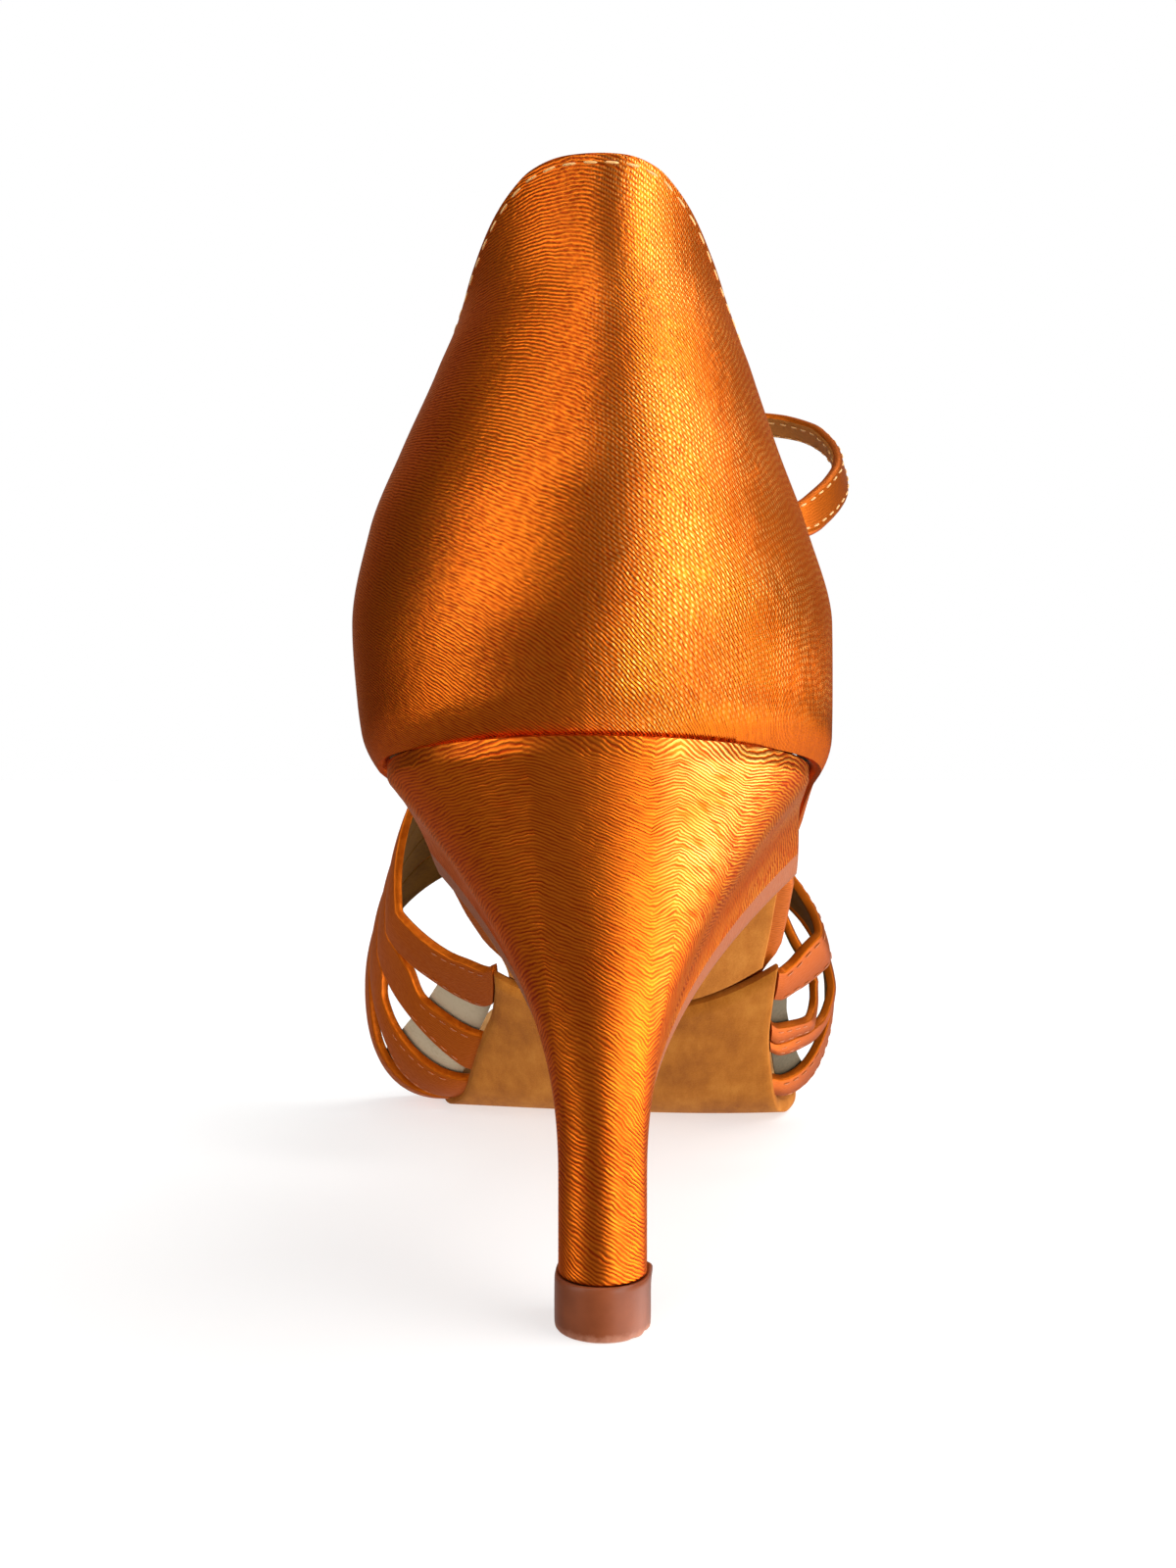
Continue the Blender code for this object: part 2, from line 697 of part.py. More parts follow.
def heel_ring(part, angles):
    """Ring of the heel at this share of its height."""
    share = min(1.0, max(0.0, (part - FLARE_START) / (FLARE_END - FLARE_START)))
    ring = []
    for angle in angles:
        towards_breast = 0.5 - 0.5 * math.cos(angle)
        power = BACK_FLARE_POWER + (BREAST_FLARE_POWER - BACK_FLARE_POWER) * towards_breast
        flare = share**power * (1 + FLARE_GAIN - FLARE_GAIN * share)
        foot_x, foot_y = stem_section(angle, -STEM_INSET)
        head_x, head_y = seat_section(angle)
        x = foot_x + (head_x - foot_x) * flare
        y = foot_y + (head_y - foot_y) * flare
        top = feather_z(head_x, head_y) - GAP
        ring.append((x, y, TIP_HEIGHT + GAP + (top - TIP_HEIGHT - GAP) * part))
    return ring


def make_heel():
    angles = [2 * math.pi * j / HEEL_COLUMNS - math.pi for j in range(HEEL_COLUMNS)]
    rings = [heel_ring(level / HEEL_LEVELS, angles) for level in range(HEEL_LEVELS + 1)]
    top_rings = []
    for shrink in (0.8, 0.55, 0.3, 0.1):
        ring = []
        for x, y, _ in rings[-1]:
            near_x = x * shrink
            near_y = SEAT_MIDDLE_Y + (y - SEAT_MIDDLE_Y) * shrink
            ring.append((near_x, near_y, feather_z(near_x, near_y) - GAP))
        top_rings.append(ring)
    return add_object("heel", *loft(rings, top_rings), SATIN)


def make_heel_tip():
    """The lift, with its sleeve round the foot of the stem and a small lip on the outer rim."""
    angles = [2 * math.pi * j / TIP_COLUMNS - math.pi for j in range(TIP_COLUMNS)]
    rings = []
    for z, grow in TIP_RINGS:
        rings.append([(*stem_section(angle, grow), z) for angle in angles])
    return add_object("heel_tip", *loft(rings), TIP_PLASTIC)


# ---- counter -----------------------------------------------------------------------------------------


def cup_point(turn, z):
    """A point of the heel cup. turn runs from -1 at the inner front edge over 0, the back, to 1."""
    side = 2 if turn < 0 else 3
    half = float(smooth(CUP, side, z))
    back = float(smooth(CUP, 1, z))
    seat = float(profile_z(COUNTER_WIDEST_Y))
    back_seat = float(profile_z(HEEL_BACK_Y))
    share = abs(turn)
    if share < CUP_BEND_SHARE:
        bend = 0.5 * math.pi * share / CUP_BEND_SHARE
        y = COUNTER_WIDEST_Y - (COUNTER_WIDEST_Y - back) * math.cos(bend)
        x = half * math.sin(bend)
        lift = z - (seat + (back_seat - seat) * math.cos(bend))
    else:
        along = (share - CUP_BEND_SHARE) / (1 - CUP_BEND_SHARE)
        front = float(smooth(CUP_FRONT, 1, z))
        y = COUNTER_WIDEST_Y + (front - COUNTER_WIDEST_Y) * along
        narrow = float(np.interp(z, CUP_NARROW_Z, (0.0, CUP_NARROW)))
        x = half * (1 - narrow * along**2)
        lift = z - float(profile_z(y))
    roll = max(0.0, 1 - max(lift, 0.0) / ROLL_HEIGHT)
    scale = 1 - ROLL_DEPTH * roll**2 / half
    x = x * scale
    y = COUNTER_WIDEST_Y + (y - COUNTER_WIDEST_Y) * (scale if y < COUNTER_WIDEST_Y else 1.0)
    return np.array((math.copysign(x, turn) if turn else 0.0, y, z))


def cup_heights(turn):
    """Lowest and highest z of the counter's wall at this turn."""
    low, high = 70.0, 120.0
    for _ in range(12):
        x, y, _ = cup_point(turn, low)
        low = float(feather_z(x, y)) - 0.1
        high = float(smooth(TOPLINE, 1, cup_point(turn, high)[1]))
    return low, high


def cup_normal(turn, z):
    step = 0.01
    near = max(-1.0, min(1.0 - step, turn))
    around = cup_point(near + step, z) - cup_point(near, z)
    up = cup_point(turn, z + 0.5) - cup_point(turn, z)
    normal = np.cross(around, up)
    return normal / np.linalg.norm(normal)


def make_counter():
    columns, levels = 44, 13
    outer, inner = [], []
    for k in range(columns + 1):
        turn = -1 + 2 * k / columns
        low, high = cup_heights(turn)
        outer_row, inner_row = [], []
        for j in range(levels + 1):
            part = j / levels
            z = low + (high - low) * (part**1.25)
            point = cup_point(turn, z)
            outer_row.append(point)
            inward = point - cup_normal(turn, z) * COUNTER_WALL
            inner_row.append(inward)
        outer.append(outer_row)
        inner.append(inner_row)
    return add_object("counter", *shell(outer, inner), SATIN)


# ---- vamp --------------------------------------------------------------------------------------------


def last_point(share, y):
    """A point of the last's forefoot. share runs from 0 at the inner feather edge over the top to 1."""
    top_x, top_z = float(smooth(FOREFOOT, 3, y)), float(smooth(FOREFOOT, 4, y))
    inner = share < 0.5
    bulge_x = float(smooth(FOREFOOT, 1 if inner else 5, y))
    bulge_z = float(smooth(FOREFOOT, 2 if inner else 6, y))
    fullness = INNER_FULLNESS if inner else float(smooth(OUTER_FULLNESS, 1, y))
    from_edge = share if inner else 1 - share
    edge_x = outline(y, -GAP)[0 if inner else 1]
    edge_z = float(feather_z(edge_x, y))
    low_share = 0.2
    if from_edge < low_share:
        power = float(smooth(LOW_ROUNDNESS, 1 if inner else 2, y))
        down = math.sin(TUCK_ANGLE * (1 - from_edge / low_share)) / math.sin(TUCK_ANGLE)
        out = (1 - min(1.0, down) ** power) ** (1 / power)
        return np.array((edge_x + (bulge_x - edge_x) * out, y, bulge_z - (bulge_z - edge_z) * down))
    rise = 0.5 * math.pi * (from_edge - low_share) / (0.5 - low_share)
    x = top_x + (bulge_x - top_x) * math.cos(rise) ** fullness
    z = bulge_z + (top_z - bulge_z) * math.sin(rise) ** fullness
    return np.array((x, y, z))


def last_normal(share, y):
    step = 0.006
    near, far = max(0.0, share - step), min(1.0, share + step)
    across = last_point(far, y) - last_point(near, y)
    along = last_point(share, y + 0.6) - last_point(share, y - 0.6)
    normal = np.cross(across, along)
    return normal / np.linalg.norm(normal)


def strap_edges(share):
    """y of the eight strap edges at this share of the way over the foot."""
    edges = [float(smooth(STRAPS, column, share)) for column in range(1, 9)]
    for j in (1, 3, 5):
        if edges[j + 1] - edges[j] < SMALLEST_SLIT:
            middle = 0.5 * (edges[j] + edges[j + 1])
            edges[j] = edges[j + 1] = middle
    return edges


def make_vamp():
    """Four straps a side in one wall: the grid's rows are the strap edges with one row inside each strap."""
    outer, inner, keep = [], [], []
    for k in range(STRAP_STATIONS):
        share = k / (STRAP_STATIONS - 1)
        edges = strap_edges(share)
        rows = []
        for j in range(0, 8, 2):
            rows += [edges[j], 0.5 * (edges[j] + edges[j + 1]), edges[j + 1]]
        outer_row, inner_row = [], []
        sag = float(smooth(SECOND_STRAP_SAG, 1, share))
        for j, y in enumerate(rows):
            normal = last_normal(share, y)
            point = last_point(share, y) - normal * (sag if j in (3, 4, 5) else 0.0)
            outer_row.append(point + normal * (STRAP_LIFT + STRAP_THICKNESS))
            inner_row.append(point + normal * STRAP_LIFT)
        outer.append(outer_row)
        inner.append(inner_row)
        keep.append([j % 3 != 2 for j in range(11)])
    return add_object("vamp_straps", *shell(outer, inner, keep), SATIN)


def join(obj, other):
    """Adds the other object's solid to obj's and hides it."""
    other.hide_render = True
    other.display_type = "WIRE"
    union = obj.modifiers.new("join", "BOOLEAN")
    union.operation = "UNION"
    union.object = other


# ---- T-bar, ankle strap, buckle -----------------------------------------------------------------------


def make_tbar():
    seats = []
    for y in TBAR_SEAT:
        share = 0.5
        depth = STRAP_LIFT + STRAP_THICKNESS + 0.5 * STRAP_THICKNESS - TBAR_SINK
        _, seat_y, seat_z = last_point(share, y) + last_normal(share, y) * depth
        seats.append((TBAR_X, seat_y, seat_z))
    path = smooth_path(seats + [(TBAR_X, y, z) for y, z in TBAR_PATH], 34)
    tangents = directions(path)
    across = np.tile((1.0, 0.0, 0.0), (len(path), 1))
    normals = np.cross(tangents, across)
    taper = np.interp(path[:, 2], TBAR_TAPER_Z, (1.0, TBAR_LOOP_WIDTH / TBAR_WIDTH))
    across *= taper[:, None]
    outer, inner = ribbon(path, across, normals, TBAR_WIDTH, STRAP_THICKNESS)
    return add_object("t_bar", *shell(outer, inner), SATIN)


def cup_turn(side, y, z):
    """The cup's turn at which its wall passes y at this height, forward of its widest point."""
    front = float(smooth(CUP_FRONT, 1, z))
    along = (y - COUNTER_WIDEST_Y) / (front - COUNTER_WIDEST_Y)
    return side * (CUP_BEND_SHARE + (1 - CUP_BEND_SHARE) * along)


def ankle_rows():
    """The ankle strap's middle line with its two ends seated on the counter's wall."""
    seats = []
    for side, y, z, lean, out in ANKLE_SEATS:
        turn = cup_turn(side, y, z)
        depth = SEAT_CLEARANCE + 0.5 * ANKLE_THICKNESS + (COUNTER_WALL if out < 0 else 0.0)
        place = cup_point(turn, z) + cup_normal(turn, z) * depth * out
        seats.append((*place, lean))
    return seats[:2] + list(ANKLE_PATH) + seats[2:]


def ankle_frame(count):
    """Middle line of the ankle strap, with the directions of its width and of its outer face."""
    rows = smooth_path(ankle_rows(), count)
    path = rows[:, :3]
    across, normals = [], []
    for tangent, lean in zip(directions(path), np.radians(rows[:, 3])):
        level = np.cross(tangent, (0.0, 0.0, 1.0))
        level /= np.linalg.norm(level)
        up = np.cross(level, tangent)
        across.append(up * math.cos(lean) + level * math.sin(lean))
        normals.append(up * math.sin(lean) - level * math.cos(lean))
    return path, np.array(across), np.array(normals)


def make_ankle_strap():
    path, across, normals = ankle_frame(ANKLE_STATIONS)
    outer, inner = ribbon(path, across, normals, ANKLE_WIDTH, ANKLE_THICKNESS)
    return add_object("ankle_strap", *shell(outer, inner), SATIN)


def over_strap(along, across):
    """A point halfway through the buckle's metal, this far from its centre, and the way off the strap."""
    path, widths, normals = ankle_frame(ANKLE_STATIONS)
    length = np.concatenate([[0], np.cumsum(np.linalg.norm(np.diff(path, axis=0), axis=1))])
    outer_end = path[:, 1] * (path[:, 0] > 0)
    last_turn = int(np.argmax(outer_end * (path[:, 2] < LOOP_BOTTOM_Z)))
    centre = float(np.interp(-BUCKLE_Y, -path[last_turn:, 1], length[last_turn:]))
    place, width, normal = (
        np.array([np.interp(centre + along, length, rows[:, c]) for c in range(3)])
        for rows in (path, widths, normals)
    )
    normal /= np.linalg.norm(normal)
    lift = 0.5 * ANKLE_THICKNESS + GAP + 0.5 * BUCKLE_THICKNESS
    return place + width * across + normal * lift, normal


def make_buckle_frame():
    """A rounded ring bent to the strap, its bars wider than they are thick."""
    count, outer, inner = 32, [], []
    for k in range(count + 1):
        angle = 2 * math.pi * (k % count) / count
        x, y = math.cos(angle), math.sin(angle)
        scale = (x**4 + y**4) ** -0.25
        front, back = [], []
        for bar in (0.0, BUCKLE_BAR):
            place, normal = over_strap(
                x * scale * (BUCKLE_HALF_LENGTH - bar), y * scale * (BUCKLE_HALF_HEIGHT - bar)
            )
            front.append(place + normal * BUCKLE_THICKNESS / 2)
            back.append(place - normal * BUCKLE_THICKNESS / 2)
        outer.append(front)
        inner.append(back)
    return add_object("buckle_frame", *shell(outer, inner), METAL)


def make_buckle_prong():
    """The prong across the frame's opening, level with its bars."""
    reach = BUCKLE_HALF_LENGTH - BUCKLE_BAR - GAP
    outer, inner = [], []
    for along in np.linspace(-reach, reach, 5):
        front, back = [], []
        for across in (-PRONG_WIDTH / 2, PRONG_WIDTH / 2):
            place, normal = over_strap(along, across)
            front.append(place + normal * BUCKLE_THICKNESS / 2)
            back.append(place - normal * BUCKLE_THICKNESS / 2)
        outer.append(front)
        inner.append(back)
    return add_object("buckle_prong", *shell(outer, inner), METAL)


def main():
    clear_scene()
    make_outsole()
    make_shank_cover()
    insole_layer("insole_board", 0.0, BOARD_THICKNESS, 0.0, SATIN)
    sock_bottom = BOARD_THICKNESS + GAP
    insole_layer("insole_sock", sock_bottom, sock_bottom + SOCK_THICKNESS, SOCK_MARGIN, SOCK)
    make_heel()
    make_heel_tip()
    make_counter()
    join(make_vamp(), make_tbar())
    make_ankle_strap()
    make_buckle_frame()
    make_buckle_prong()


main()
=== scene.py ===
"""Latin dance shoe, right foot, seen from behind: satin upper and heel, suede sole, plastic heel tip.

The surfaces follow the same tables as the solids, in millimetres, with finer grids, rounded edges,
linings, stitches and cloth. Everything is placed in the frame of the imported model.
"""
import math

import bmesh
import bpy
import numpy as np
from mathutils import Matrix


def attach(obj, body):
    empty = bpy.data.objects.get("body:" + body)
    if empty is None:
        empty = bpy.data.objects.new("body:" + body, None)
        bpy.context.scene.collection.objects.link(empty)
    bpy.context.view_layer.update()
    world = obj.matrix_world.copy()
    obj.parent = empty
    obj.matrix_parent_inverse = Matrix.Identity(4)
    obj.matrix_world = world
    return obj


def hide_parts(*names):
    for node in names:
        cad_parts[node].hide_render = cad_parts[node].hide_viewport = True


MM = 0.001
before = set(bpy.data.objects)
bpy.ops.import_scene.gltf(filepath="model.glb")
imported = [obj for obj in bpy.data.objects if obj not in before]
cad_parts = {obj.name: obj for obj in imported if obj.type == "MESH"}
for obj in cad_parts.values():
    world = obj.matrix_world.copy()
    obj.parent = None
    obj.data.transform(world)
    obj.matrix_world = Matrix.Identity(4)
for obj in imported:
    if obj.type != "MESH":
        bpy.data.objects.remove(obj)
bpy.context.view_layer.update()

# ---- sizes and tables of the solids -------------------------------------------------------------------
GAP = 0.3  # clearance between pieces that touch on the real shoe
SOLE_TOP_GAP = 0.45  # the same over the outsole, whose facets cut across the hollow of the arch
HEEL_BACK_Y = -22.2  # rearmost point of the seat
TOE_Y = 205.0  # foremost point of the sole
SOLE_TOP_Z = 3.0  # feather surface above the floor at the tread
PROFILE = (
    # y, z, radius
    (HEEL_BACK_Y, 75.7, 0.0),
    (29.0, 66.0, 55.0),
    (105.5, SOLE_TOP_Z, 30.0),
    (158.0, SOLE_TOP_Z, 140.0),
    (TOE_Y + 4.0, 10.0, 0.0),
)
HEEL_ROUND_Y = 4.0  # where the rounded heel end of the outline starts
TOE_ROUND_Y = 130.0  # where the rounded toe end starts
OUTLINE = (
    # y, centre x, half width
    (4.0, -0.8, 27.2),
    (20.0, -0.9, 28.0),
    (38.0, 0.2, 28.3),
    (54.0, 1.6, 26.8),
    (69.0, 2.9, 24.6),
    (80.0, 2.1, 25.3),
    (92.0, 0.6, 28.1),
    (105.0, -0.3, 31.6),
    (113.0, -1.0, 35.0),
    (125.0, -1.4, 37.9),
    (TOE_ROUND_Y, -1.8, 38.1),
    (150.0, -3.2, 38.1),
    (175.0, -6.2, 38.1),
    (TOE_Y, -10.5, 38.1),
)
CAMBER = (
    # y, rise of the edges
    (HEEL_BACK_Y, 0.6),
    (30.0, 1.0),
    (60.0, 2.4),
    (85.0, 2.8),
    (105.0, 1.2),
    (120.0, 0.0),
    (TOE_Y, 0.0),
)
FOREFOOT = (
    # y, inner x, inner z, top x, top z, outer x, outer z
    (66.0, -31.0, 54.0, -11.0, 99.0, 32.6, 46.0),
    (80.0, -39.4, 45.0, -11.0, 85.0, 36.8, 35.5),
    (94.0, -45.2, 36.0, -10.5, 71.0, 39.2, 29.5),
    (106.0, -49.6, 29.0, -10.0, 59.5, 40.3, 26.5),
    (116.0, -52.0, 23.5, -9.0, 51.5, 40.9, 23.5),
    (126.0, -52.2, 19.0, -8.5, 45.5, 41.0, 19.5),
    (140.0, -49.0, 16.0, -8.0, 39.0, 39.5, 15.0),
)
INNER_FULLNESS = 0.88  # section exponent of the inner shoulder: below 1 is fuller than an ellipse
OUTER_FULLNESS = (
    # y, section exponent of the outer shoulder: above 1 is flatter
    (66.0, 1.45),
    (82.0, 1.45),
    (94.0, 1.4),
    (106.0, 1.0),
    (116.0, 0.87),
    (140.0, 0.8),
)
TUCK_ANGLE = 1.5  # how far the sections turn under towards the feather edge, in radians
LOW_ROUNDNESS = (
    # y, inner, outer
    (82.0, 1.15, 1.1),
    (92.0, 1.3, 1.25),
    (102.0, 1.8, 1.6),
    (110.0, 2.1, 2.0),
    (120.0, 2.5, 2.1),
)
BALL_SKEW = 0.085  # slant of the ball line across the foot
SKEW_SHARE = (
    # y, share of the slant
    (55.0, 0.0),
    (100.0, 1.0),
    (150.0, 1.0),
    (TOE_Y, 0.6),
)
LINE_BEND = 2.2  # power of the curved lines across the sole: the step and the breast
SHANK_COVER_THICKNESS = 1.5
SHANK_COVER_INSET = 2.6  # the shank cover stops this far inside the feather edge
STEP_CENTRE_Y = 73.0  # waist step of the outsole on the centre line
STEP_EDGE_Y = 66.8  # the same step at the edges, on average
STEP_SLANT = -2.0  # how much further back it is at the outer edge
BREAST_CENTRE_Y = 27.0  # heel breast line under the seat, on the centre line
BREAST_EDGE_Y = 43.5  # the same line at the wings
BOARD_THICKNESS = 2.4
BOARD_LEDGE = 2.3  # how far the board stays inside the feather edge where straps pass it
BOARD_OVERHANG = 0.3  # how far the wrapped board stands past the suede along the arch
SOCK_THICKNESS = 2.0
SOCK_MARGIN = 1.2
TIP_HEIGHT = 7.0
TIP_HALF_WIDTH = 6.15
TIP_HALF_LENGTH = 6.2
STEM_INSET = 0.45  # the covered stem is this much slimmer than the tip's sleeve
FLARE_START = 0.18  # share of the heel's height at which the stem starts to flare
FLARE_END = 0.97  # share of its height from which its sides follow the seat's outline
FLARE_GAIN = 0.45  # how much sooner than a plain power curve the flare opens
BACK_FLARE_POWER = 2.2  # how late the back flares: a higher power keeps the stem slim for longer
BREAST_FLARE_POWER = 3.1
WING_ANGLE = 2.18  # turn from the back at which the sides end in the breast's wings, in radians
WING_STAND_BACK = 0.5  # the heel's wings stop this far behind the breast line
SEAT_BACK_SHARE = 0.42  # share of that turn taken by the seat's rounded back
SEAT_MIDDLE_Y = 6.0
COUNTER_WALL = 2.0
COUNTER_WIDEST_Y = 8.0
CUP_BEND_SHARE = 0.55  # share of the cup's turn taken by its rounded back
CUP_NARROW = 0.09  # how much of its half width the cup loses towards its front edge
CUP_NARROW_Z = (75.0, 110.0)  # heights between which that narrowing sets in
ROLL_HEIGHT = 5.0  # height of the rolled lower edge
ROLL_DEPTH = 1.6
CUP = (
    # z, back y, inner half width, outer half width
    (58.0, -20.0, 29.2, 28.5),
    (70.0, -21.8, 31.0, 29.6),
    (80.0, -24.4, 32.5, 29.8),
    (90.0, -26.0, 33.1, 29.7),
    (102.0, -25.2, 30.8, 26.5),
    (112.0, -23.0, 26.7, 22.8),
    (122.0, -20.4, 22.1, 19.4),
    (131.0, -18.0, 18.8, 16.6),
    (144.0, -16.2, 18.1, 15.9),
)
TOPLINE = (
    # y, z
    (-18.0, 142.9),
    (-16.0, 142.8),
    (-14.0, 141.9),
    (-12.4, 140.4),
    (-10.0, 138.0),
    (-6.2, 134.0),
    (-1.2, 130.0),
    (4.0, 127.0),
    (14.0, 122.8),
    (21.0, 120.9),
    (25.5, 118.9),
    (28.5, 115.8),
    (30.5, 111.0),
)
CUP_FRONT = (
    # z, y
    (58.0, 39.0),
    (66.0, 36.0),
    (80.0, 31.5),
    (95.0, 29.0),
    (108.0, 28.6),
    (120.0, 30.5),
)
STRAP_THICKNESS = 1.7
STRAP_LIFT = 0.15  # clearance between the straps' lining and the last
STRAPS = (
    # share, A rear, A front, B rear, B front, C rear, C front, D rear, D front
    (0.00, 68.5, 79.0, 88.4, 98.2, 101.2, 111.4, 112.6, 125.0),
    (0.04, 70.4, 81.0, 89.0, 97.0, 101.4, 110.4, 112.2, 123.8),
    (0.08, 72.8, 83.0, 89.8, 96.4, 101.4, 109.4, 112.4, 122.0),
    (0.12, 76.2, 84.8, 90.6, 96.2, 101.2, 107.2, 112.0, 120.0),
    (0.155, 78.4, 86.6, 88.0, 96.2, 100.2, 105.6, 109.8, 118.0),
    (0.185, 79.8, 87.6, 87.6, 96.0, 96.0, 104.8, 107.0, 116.8),
    (0.25, 82.4, 89.6, 89.6, 96.6, 96.6, 104.2, 104.2, 114.4),
    (0.50, 84.6, 91.8, 91.8, 98.8, 98.8, 105.6, 105.6, 112.6),
    (0.64, 82.8, 90.8, 90.8, 97.6, 97.6, 104.0, 104.0, 112.2),
    (0.70, 79.6, 90.4, 92.8, 96.6, 100.6, 105.0, 105.0, 112.0),
    (0.74, 76.0, 84.4, 92.0, 94.4, 101.2, 105.2, 105.6, 111.6),
    (0.79, 71.2, 79.6, 91.4, 93.6, 98.6, 102.4, 104.2, 110.4),
    (0.84, 69.4, 77.8, 90.6, 92.6, 95.8, 99.0, 102.2, 108.4),
    (0.87, 68.8, 76.8, 88.6, 92.4, 92.4, 96.4, 100.6, 107.0),
    (0.91, 68.2, 75.4, 84.8, 88.8, 88.8, 92.6, 98.8, 105.4),
    (0.95, 67.4, 74.6, 82.4, 86.8, 86.8, 90.2, 96.6, 102.8),
    (1.00, 66.8, 73.6, 80.4, 85.0, 85.0, 88.0, 94.4, 99.8),
)
SMALLEST_SLIT = 0.45  # where two straps come nearer than this they are one
SECOND_STRAP_SAG = (
    # share, sag
    (0.68, 0.0),
    (0.74, 3.4),
    (0.80, 3.4),
    (0.84, 1.6),
    (0.87, 0.0),
)
TBAR_WIDTH = 13.0  # where it lies on the vamp
TBAR_LOOP_WIDTH = 8.0  # where it goes round the ankle strap
TBAR_TAPER_Z = (75.0, 120.0)  # heights between which it narrows
TBAR_X = -7.0
TBAR_PATH = (
    # y, z
    (79.0, 90.8),
    (72.0, 100.2),
    (66.4, 109.0),
    (61.3, 117.0),
    (57.0, 122.4),
    (51.2, 126.2),
    (50.4, 129.8),
    (54.2, 131.4),
    (59.4, 128.4),
    (61.9, 122.6),
    (64.2, 117.0),
)
TBAR_SEAT = (102.0, 96.0, 90.0)  # y of the T-bar's end where it lies on the vamp
TBAR_SINK = 0.4  # how far its end is let into the vamp's wall
ANKLE_WIDTH = 5.4
ANKLE_THICKNESS = 1.5
ANKLE_PATH = (
    # x, y, z, lean in degrees
    (-18.7, 33.0, 115.4, 28.0),
    (-17.6, 45.0, 121.4, 36.0),
    (-15.0, 52.4, 125.2, 46.0),
    (-9.5, 55.4, 126.8, 54.0),
    (-4.0, 56.2, 127.5, 54.0),
    (3.0, 56.4, 128.0, 58.0),
    (13.0, 57.0, 128.4, 64.0),
    (21.0, 56.4, 128.0, 66.0),
    (28.2, 53.4, 126.5, 62.0),
    (32.3, 49.0, 123.9, 48.0),
    (34.2, 45.4, 121.0, 34.0),
    (35.0, 42.0, 118.0, 20.0),
    (34.7, 39.0, 115.2, 10.0),
    (33.2, 36.2, 112.6, 8.0),
    (31.0, 33.6, 110.2, 12.0),
    (28.6, 31.2, 108.2, 17.0),
)
ANKLE_SEATS = (
    # side, y, z, lean, 1 outside the wall or -1 inside it
    (-1, 20.0, 111.8, 22.0, -1),
    (-1, 26.0, 113.0, 22.0, -1),
    (1, 27.6, 106.0, 23.0, 1),
    (1, 24.0, 104.9, 22.0, 1),
    (1, 20.6, 104.0, 21.0, 1),
    (1, 17.6, 103.4, 20.0, 1),
)
SEAT_CLEARANCE = 0.55  # how far the strap's face stays off the counter's wall
LOOP_BOTTOM_Z = 112.0  # below this the strap's outer end turns back to the counter
BUCKLE_Y = 24.6  # where the frame sits on the ankle strap's end
BUCKLE_HALF_LENGTH = 3.7  # along the strap
BUCKLE_HALF_HEIGHT = 4.4
BUCKLE_BAR = 1.3
BUCKLE_THICKNESS = 0.9
PRONG_WIDTH = 1.1
TOE_CLOSE = 0.4  # the rounded ends stop this far short of a point
END_CROWDING = 0.55  # how much the insole's stations crowd towards its round ends

# ---- sizes of what only shows in the looks --------------------------------------------------------------
TUCK_SHARE = 0.2  # share over the foot, from either edge, over which the last's sides turn under
EDGE_TURN = 0.017  # turn of the cup over which its front edges round off
COUNTER_ROUNDING = 0.4  # radius of the topline's two corners
COUNTER_STATIONS = 261
COUNTER_LEVELS = 80
MIDDLE_LEVEL = 20  # the point of a section along which the cloth's length is measured
TOPLINE_STITCHED_TURN = 0.93  # the topline's stitches end this far round to either side
STITCH_BELOW_EDGE = 1.3
STITCH_LIFT = 0.02
HEEL_TURNS = 192
HEEL_STATIONS = 151
HEEL_FOOT = ((0.06, 0.3), (0.02, 0.18))  # share drawn in at the stem's foot, and depth below it
HEEL_COLLAR = ((0.3, 0.1), (0.6, 0.38), (1.1, 0.4))  # mm inside the seat's rim, and above it
HEEL_TOP_RINGS = (0.8, 0.55, 0.3, 0.1)  # share of the way from the seat's middle to its rim
SMOOTH_HEM_TURN = 0.2  # the last stretch before the heel's wings, where the cloth is glued down flat
TIP_TURNS = 128
STRAP_STATIONS = 231
STRAP_COLUMNS = 22
STRAP_STITCH_INSET = 1.0
TBAR_STITCH_INSET = 1.2
ANKLE_STITCH_INSET = 0.95
STRAP_ROUNDING = 0.4
STRAP_CROWN = 0.22  # how much fuller a strap is along its middle
STRAP_TUCK = 1.7  # how far the straps' ends run in over the sole's edge
LINING_THICKNESS = 0.5
LINING_DEPTH = 0.12  # how far the low lining lies inside the last's surface
BUCKLE_TURNS = 96
BAR_TURNS = 14
PRONG_STATIONS = 24
SHEET_COLUMNS = 44
SHEET_STATIONS = 141
OUTSOLE_EASE = 0.75  # how much the outsole's stations crowd towards the toe
SHEET_EDGE = 0.35  # radius of the edges of the sole's sheets
OUTSOLE_EDGE = 0.5
BOARD_EDGE = 0.6
SOCK_EDGE = 0.9
HEEL_WEAVE_U = (-60.0, -22.0, -7.0, 7.0, 10.5, 20.0, 28.0, 60.0)
HEEL_WEAVE_RISE = (0.0, 2.0, 4.2, -3.4, -1.6, -7.0, -5.5, -8.0)
TIP_FINE_RINGS = (
    # z, growth over the stem's section
    (0.0, -0.8),
    (0.02, -0.45),
    (0.12, -0.2),
    (0.32, -0.04),
    (0.6, 0.02),
    (1.2, 0.05),
    (2.2, 0.06),
    (3.4, 0.06),
    (4.6, 0.05),
    (5.6, 0.04),
    (6.2, 0.03),
    (6.6, 0.0),
    (6.85, -0.08),
    (7.0, -0.2),
    (7.02, -0.34),
    (6.9, -0.5),
)
